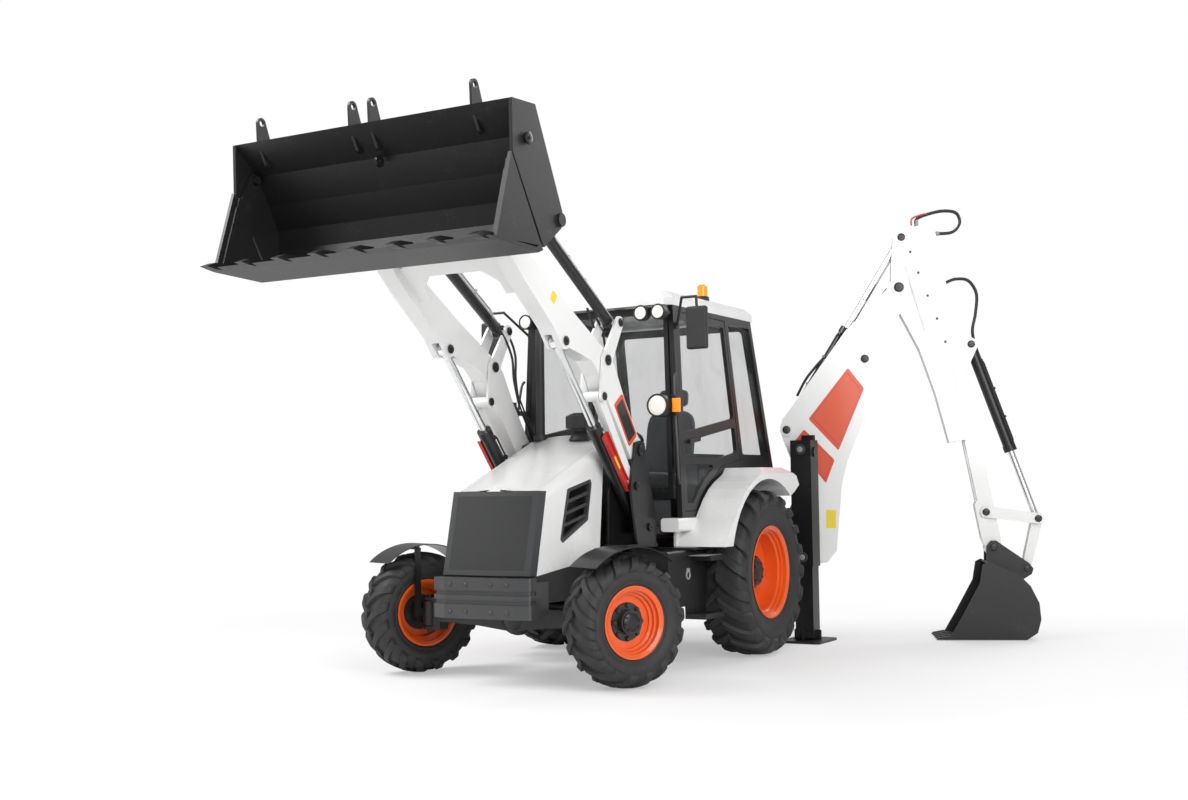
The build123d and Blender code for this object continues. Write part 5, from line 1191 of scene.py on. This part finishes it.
# ============================================================== digger
@dataclass
class Digger:
    """Coloured panels, caps and hoses of the digging arm."""

    half: float = 0.124
    panel_a: tuple = ((0.415, 2.059), (0.794, 2.535), (0.939, 2.338), (0.689, 1.756))
    panel_b: tuple = ((0.273, 1.84), (0.371, 1.963), (0.651, 1.668), (0.565, 1.449))

    pins: tuple = (
        Pin("boom", (0.35, 0.78), 0.050, ("boom", "kingpost")),
        Pin("swing_post", (0.22, 1.08), 0.040, ("kingpost", "boom_barrel")),
        Pin("boom", (0.952, 2.617), 0.038, ("boom",)),
        Pin("boom", (0.207, 1.96), 0.038, ("boom", "dipper_barrel")),
        Pin("dipper", (1.284, 3.283), 0.046, ("boom", "dipper_outer")),
        Pin("dipper", (1.319, 3.763), 0.036, ("dipper_outer", "dipper_rod")),
        Pin("extension", (1.938, 2.734), 0.034, ("dipper_inner", "bucket_barrel")),
        Pin("extension", (2.026, 1.165), 0.034, ("tipping_levers", "dipper_inner")),
        Pin("tip_levers", (2.493, 1.10), 0.032, ("tipping_levers", "bucket_link")),
        Pin("digger_bucket", (2.085, 0.838), 0.034, ("digging_bucket", "dipper_inner")),
        Pin("digger_bucket", (2.378, 0.639), 0.030, ("digging_bucket", "bucket_link")))
    dipper_half: float = 0.098
    # hoses on the arm: name, points (s, z), places across, radius, finish, body
    runs: tuple = (
        ("dipper_top_hoses",
         ((1.470, 3.870), (1.478, 3.950), (1.637, 4.004), (1.757, 4.014), (1.847, 3.986),
          (1.872, 3.89), (1.797, 3.808), (1.615, 3.800)),
         (0.020, -0.016), 0.0125, Finishes.HOSE, "dipper"),
        ("bucket_cylinder_hoses",
         ((1.660, 3.290), (1.738, 3.334), (1.83, 3.362), (1.939, 3.34), (2.008, 3.215),
          (1.994, 3.028), (1.962, 2.86), (1.993, 2.671)),
         (0.018, -0.018), 0.0125, Finishes.HOSE, "extension"),
        ("boom_hoses",
         ((0.313, 2.288), (0.401, 2.447), (0.516, 2.587), (0.679, 2.754), (0.822, 2.911),
          (0.937, 3.031), (1.108, 3.197), (1.184, 3.289)),
         (-0.045, -0.015, 0.015), 0.0115, Finishes.HOSE, "boom"),
        ("dipper_side_pipe", ((1.347, 3.493), (1.392, 3.330), (1.452, 3.100), (1.515, 2.872)),
         (0.108,), 0.007, Finishes.WHITE, "dipper"),
        ("dipper_stop_rod", ((1.420, 3.880), (1.428, 3.945), (1.50, 3.975), (1.57, 3.990)),
         (0.045,), 0.008, Finishes.RED, "dipper"))
    # hose fittings: name, both ends of each, places across, radius, body
    fittings: tuple = (
        ("dipper_hose_fittings",
         (((1.470, 3.870), (1.472, 3.935)), ((1.615, 3.800), (1.680, 3.802))),
         (0.020, -0.016), 0.018, "dipper"),
        ("bucket_hose_fittings",
         (((1.660, 3.290), (1.705, 3.316)), ((1.993, 2.671), (1.984, 2.705))),
         (0.018, -0.018), 0.017, "extension"))
    # cylinders: name, base pin, rod's eye, barrel's radius, where its pipe ends
    cylinders: tuple = (("boom", (0.22, 1.08), (0.952, 2.617), 0.062, 0.93),
                        ("dipper", (0.207, 1.96), (1.319, 3.763), 0.057, 1.04),
                        ("bucket", (1.938, 2.734), (2.493, 1.10), 0.055, 0.98))
    label: tuple = ((0.56, 1.199), (0.652, 1.198), (0.648, 1.029), (0.556, 1.03))
    wear_bolts: tuple = ((1.40, 3.62), (1.47, 3.42), (1.55, 3.20), (1.63, 2.98), (1.70, 2.76))

    def panel(self, outline: Sequence[Point], rise: float, radius: float = 0.02) -> Surface:
        """The same thin plate on both side faces of the boom.

        Args:
            outline: its corners, (s, z).
            rise: how far it stands off the face.
            radius: how far from a corner its rounding starts.

        Returns:
            Surface: both plates.
        """
        line, inner, outer = rounded(outline, radius), self.half - 0.001, self.half + rise
        return DIG.carry(plate(line, inner, outer, 0.0006) + plate(line, -outer, -inner, 0.0006))

    def shrunk(self, outline: Sequence[Point], share: float) -> Array:
        """An outline drawn in towards its middle by a share of its size."""
        points = np.array(outline, float)
        return points + (points.mean(axis=0) - points) * share

    def hoses(self) -> None:
        """Hoses over the arm's top, beside the dipper and up the boom, with their fittings."""
        for name, points, places, radius, finish, body in self.runs:
            lines = [hose([(s, z, across) for s, z in points], radius) for across in places]
            piece(name, DIG.carry(together(lines)), finish, body)
        for name, ends, places, radius, body in self.fittings:
            parts = [sweep(np.array([(*a, across), (*b, across)], float), circle(radius, 6))
                     for a, b in ends for across in places]
            piece(name, DIG.carry(together(parts)), Finishes.BOLT, body)

    def dress(self) -> None:
        """Builds the arm's fittings."""
        for name, outline in (("upper", self.panel_a), ("lower", self.panel_b)):
            # piece, how far it is drawn in, how far it stands off, finish
            for part, share, rise, finish in (("", 0.0, 0.0015, Finishes.ORANGE),
                                              ("_border", 0.10, 0.0019, Finishes.RED),
                                              ("_field", 0.14, 0.0024, Finishes.ORANGE)):
                piece(f"boom_panel{part}_{name}", self.panel(self.shrunk(outline, share), rise),
                      finish, "boom")
        piece("boom_yellow_label", self.panel(self.label, 0.0009, 0.006), Finishes.YELLOW, "boom")
        for number, pin in enumerate(self.pins):
            piece(f"arm_pin_heads_{number}", pin.heads(DIG), Finishes.BLACK, pin.body)
        heads = [Place((*spot, self.dipper_half)).carry(hex_head(0.013, 0.008))
                 for spot in self.wear_bolts]
        piece("dipper_wear_bolts", DIG.carry(together(heads)), Finishes.GREY, "dipper")
        self.hoses()
        for name, base, eye, radius, end in self.cylinders:
            piece(f"{name}_cylinder_pipes", pipe_run(DIG, base, eye, radius, 0.18, end, 0.9),
                  Finishes.BLACK, f"{name}_cylinder")


# ============================================================== lamps, mirrors and cab
@dataclass
class Fittings:
    """Lamps, mirror glass, seat, rails, wiper, rings, treads, bosses and bolts."""

    # x, y, z of the front face and radius of each left lamp
    lamps: tuple = ((1.260, 0.735, 2.085, 0.092), (1.045, 0.640, 2.862, 0.062),
                    (1.045, 0.480, 2.862, 0.062))
    beacon: tuple = (0.060, 0.570, 3.0503)
    # y and z of each boss on the left guide, and the height at which its face is sought
    bosses: tuple = ((1.0, 1.765, 1.85), (1.0, 0.775, 0.69))
    # half lengths, middle and lean of each of the seat's pads
    pads: dict = field(default_factory=lambda: {
        "cushion": ((0.255, 0.245, 0.075), (-0.025, 0.0, 1.490), -0.03),
        "back": ((0.062, 0.235, 0.310), (-0.384, 0.0, 1.825), -0.175),
        "headrest": ((0.045, 0.140, 0.080), (-0.475, 0.0, 2.250), -0.10)})

    def pair(self, name: str, parts: Sequence[Surface], finish: Finishes) -> None:
        """A piece of the machine's body from shapes on its left side, mirrored to its right."""
        piece(name, together(parts).both_sides(), finish, "machine")

    def lights(self) -> None:
        """Lenses, rims, indicators and the beacon's base."""
        lenses, rims = [], []
        for x, y, z, radius in self.lamps:
            face = facing_forward(x, y, z)
            lenses.append(face.carry(lathe([
                (radius * 0.30, 0.016), (radius * 0.62, 0.013), (radius * 0.84, 0.006),
                (radius * 0.88, -0.001)], 36)))
            section = circle(0.007, 10) * (1.0, 1.4) + (radius * 0.94, 0.004)
            rims.append(face.carry(lathe(section, 36, closed=True).turned_over()))
        self.pair("lamp_lenses", lenses, Finishes.LENS)
        self.pair("lamp_rims", rims, Finishes.BLACK_PLASTIC)
        self.pair("indicators", [box((1.172, 0.838, 2.030), (1.215, 0.902, 2.140), 0.012)],
                  Finishes.AMBER)
        base = lathe([(0.046, 0.046), (0.053, 0.043), (0.058, 0.036), (0.060, 0.001)], 36)
        piece("beacon_base", Place(self.beacon).carry(base), Finishes.BLACK_PLASTIC, "machine")

    def mirrors(self) -> None:
        """Glass on the rear face of both door mirrors."""
        face = Place((1.0223, 0.995, 2.7075), Y_AXIS, (-1.0, 0.0, 0.0))
        glass = plate(rectangle(0.076, 0.155, 0.02, 5), -0.001, 0.0012, 0.0006)
        self.pair("mirror_glasses", [face.carry(glass)], Finishes.MIRROR)

    def seat(self) -> None:
        """Seat on its pedestal: cushion, back and headrest are pads."""
        base = (box((-0.250, -0.200, 1.1103), (0.130, 0.200, 1.425), 0.03)
                + box((-0.485, -0.030, 2.060), (-0.445, 0.030, 2.200), 0.008)
                + box((-0.400, -0.150, 1.395), (0.150, 0.150, 1.430), 0.02))
        piece("seat_pedestal", base, Finishes.BLACK_PLASTIC, "machine", ("seat",))
        for name, shape in self.pads.items():
            made = piece(f"seat_{name}", pad(*shape), Finishes.CLOTH, "machine", smooth=70.0)

    def cab(self) -> None:
        """Grab rails on the front pillars, the wiper, tie-down rings and step treads."""
        rail = hose([(0.930, 0.752, 1.46), (0.985, 0.775, 1.52), (1.010, 0.778, 1.80),
                     (1.000, 0.760, 2.05), (0.965, 0.742, 2.30), (0.925, 0.735, 2.36)], 0.011)
        self.pair("grab_rails", [rail], Finishes.GREY)
        wiper = (hose([(0.934, 0.05, 1.375), (0.948, 0.10, 1.60), (0.940, 0.16, 1.95)], 0.007)
                 + hose([(0.934, 0.13, 1.62), (0.933, 0.17, 2.25)], 0.006, 8)
                 + box((0.917, 0.015, 1.335), (0.945, 0.085, 1.385), 0.01))
        piece("wiper", wiper, Finishes.BLACK_PLASTIC, "machine")
        ring = lathe(circle(0.008, 10) + (0.030, 0.0), 28, closed=True).turned_over()
        lug = Place((1.060, 0.881, 0.735), X_AXIS, (0.0, 0.35, 0.0)).carry(ring)
        block = box((1.035, 0.876, 0.755), (1.085, 0.889, 0.790), 0.004)
        self.pair("tie_down_rings", [lug, block], Finishes.BOLT)
        lefts = [0.755 + 0.055 * number for number in range(6)]
        self.pair("step_treads", [box((x, 0.885, 0.884), (x + 0.030, 1.035, 0.890), 0.003)
                                  for x in lefts], Finishes.BOLT)

    def heads(self) -> None:
        """Round bosses with pins on the stabiliser guides, and bolts on the front weight."""
        faces = [(span(FORWARD, ("rear_frame",), (y, probe), 0.13)[1], y, z)
                 for y, z, probe in self.bosses]
        boss = lathe([(0.030, 0.012), (0.044, 0.010), (0.050, -0.001)], 28)
        self.pair("guide_bosses", [facing_forward(*face).carry(boss) for face in faces],
                  Finishes.GREY)
        pin = pin_cap(0.026, 0.008)
        self.pair("guide_pins", [facing_forward(x + 0.012, y, z).carry(pin)
                                 for x, y, z in faces], Finishes.BOLT)
        bolt = hex_head(0.014, 0.010)
        self.pair("weight_bolts", [facing_forward(2.7145, y, z).carry(bolt)
                                   for y in (0.11, 0.25) for z in (0.545, 0.745)],
                  Finishes.GREY)

    def dress(self) -> None:
        """Builds every fitting."""
        for build in (self.heads, self.lights, self.mirrors, self.seat, self.cab):
            build()


# ============================================================== studio
WHITE_LIGHT = (1.0, 1.0, 1.0, 1.0)
PAPER, PAPER_GRAIN = (0.83, 0.83, 0.83), (0.80, 0.80, 0.80)


def pose(right: Array, up: Array, back: Array, place: Point) -> Matrix:
    """The matrix of an object at a place, with those three axes as its columns."""
    matrix = np.eye(4)
    matrix[:3] = np.column_stack([right, up, back, place])
    return Matrix(matrix.tolist())


@dataclass
class Studio:
    """Camera, pale floor, backdrop light and soft lamps."""

    eye: tuple = (11.4343, 6.0568, 1.4434)
    yaw: float = math.radians(210.124)
    pitch: float = math.radians(3.444)
    roll: float = math.radians(-0.762)
    lens: float = 43.822
    floor_half: float = 60.0
    middle: tuple = (0.8, 0.3, 1.6)
    fade: tuple = (2.6, 7.5)     # distances between which the floor goes over to white
    least: float = 0.38          # share of white at the machine
    soft: float = 0.42           # strength of the light from all round
    # name, place, length of a side and watts of each lamp
    lamps: tuple = (("key", (6.0, -6.0, 9.0), 6.0, 1050.0),
                    ("fill", (7.0, 8.0, 5.0), 7.0, 700.0),
                    ("back", (-8.0, 3.0, 8.0), 6.0, 500.0))

    def camera(self) -> None:
        """The camera: forward from yaw and pitch, its right and up turned by the roll."""
        ahead = np.array([math.cos(self.yaw) * math.cos(self.pitch),
                          math.sin(self.yaw) * math.cos(self.pitch), math.sin(self.pitch)])
        right = unit(np.cross(ahead, Z_AXIS))
        up = np.cross(right, ahead)
        turn = np.array([[math.cos(self.roll), math.sin(self.roll)],
                         [-math.sin(self.roll), math.cos(self.roll)]])
        right, up = turn @ np.array([right, up])
        data = bpy.data.cameras.new("camera")
        data.sensor_width, data.lens = 36.0, self.lens
        data.clip_start, data.clip_end = 0.1, 500.0
        made = bpy.data.objects.new("camera", data)
        bpy.context.scene.collection.objects.link(made)
        made.matrix_world = pose(right, up, -ahead, self.eye)
        bpy.context.scene.camera = made

    def floor(self) -> None:
        """A plain floor that is white to the camera away from the shadow.

        The share of white rises smoothly with the distance from the machine's middle.
        """
        shader = Shader("floor_paper")
        grain = shader.noise(3.0, 3.0)
        shader.surface(Base_Color=shader.mix(grain * 0.2, PAPER, PAPER_GRAIN),
                       Roughness=0.9, Specular_IOR_Level=0.1)
        x, y, _ = shader.parts(shader.place())
        off_x, off_y = x - self.middle[0], y - self.middle[1]
        reach = (off_x * off_x + off_y * off_y) ** 0.5
        seen = shader.node("ShaderNodeLightPath", output="Is Camera Ray")
        white = shader.node("ShaderNodeEmission", inputs={"Color": WHITE_LIGHT})
        paper = Socket(shader, shader.principled.outputs[0])
        both = shader.node("ShaderNodeMixShader", inputs={
            0: seen * (reach.between(*self.fade) * (1.0 - self.least) + self.least),
            1: paper, 2: white})
        shader.tree.links.new(both.link, shader.output.inputs[0])
        half = self.floor_half
        corners = [[(-half, -half, 0), (-half, half, 0)], [(half, -half, 0), (half, half, 0)]]
        flat = grid(np.array(corners, float))
        mesh = bpy.data.meshes.new("floor")
        mesh.from_pydata(flat.points.tolist(), [], flat.faces)
        mesh.materials.append(shader.material)
        made = bpy.data.objects.new("floor", mesh)
        bpy.context.scene.collection.objects.link(made)

    def world(self) -> None:
        """Even pale light from all round; white where the camera sees it."""
        world = bpy.data.worlds.new("studio")
        world.use_nodes = True
        tree = world.node_tree
        tree.nodes.clear()
        mixed = tree.nodes.new("ShaderNodeMixShader")
        for socket, strength in ((1, self.soft), (2, 1.0)):
            light = tree.nodes.new("ShaderNodeBackground")
            light.inputs["Color"].default_value = WHITE_LIGHT
            light.inputs["Strength"].default_value = strength
            tree.links.new(light.outputs[0], mixed.inputs[socket])
        rays = tree.nodes.new("ShaderNodeLightPath")
        tree.links.new(rays.outputs["Is Camera Ray"], mixed.inputs[0])
        output = tree.nodes.new("ShaderNodeOutputWorld")
        tree.links.new(mixed.outputs[0], output.inputs[0])
        bpy.context.scene.world = world

    def lamp(self, name: str, place: Point, size: float, watts: float) -> None:
        """A square soft lamp at a place, facing the machine's middle.

        Args:
            name: the lamp's name.
            place: where it hangs.
            size: length of its side, in metres.
            watts: its power.
        """
        data = bpy.data.lights.new(name, "AREA")
        data.shape, data.size, data.energy = "SQUARE", size, watts
        made = bpy.data.objects.new(name, data)
        back = unit(np.array(place, float) - np.array(self.middle))
        right = unit(np.cross(Z_AXIS, back))
        made.matrix_world = pose(right, np.cross(back, right), back, place)
        bpy.context.scene.collection.objects.link(made)

    def dress(self) -> None:
        """Sets the stage."""
        bpy.context.scene.view_settings.view_transform = "Standard"
        self.camera()
        self.floor()
        self.world()
        for lamp in self.lamps:
            self.lamp(*lamp)
        log.info("studio: camera, floor, %d lamps", len(self.lamps))


def main() -> None:
    """Builds every sub-assembly in order."""
    logging.basicConfig(level=logging.INFO, format="%(name)s: %(message)s")
    for assembly in (Studio(), Bodywork(), WheelSet(), Loader(), Digger(), Fittings()):
        assembly.dress()


if __name__ == "__main__":
    main()
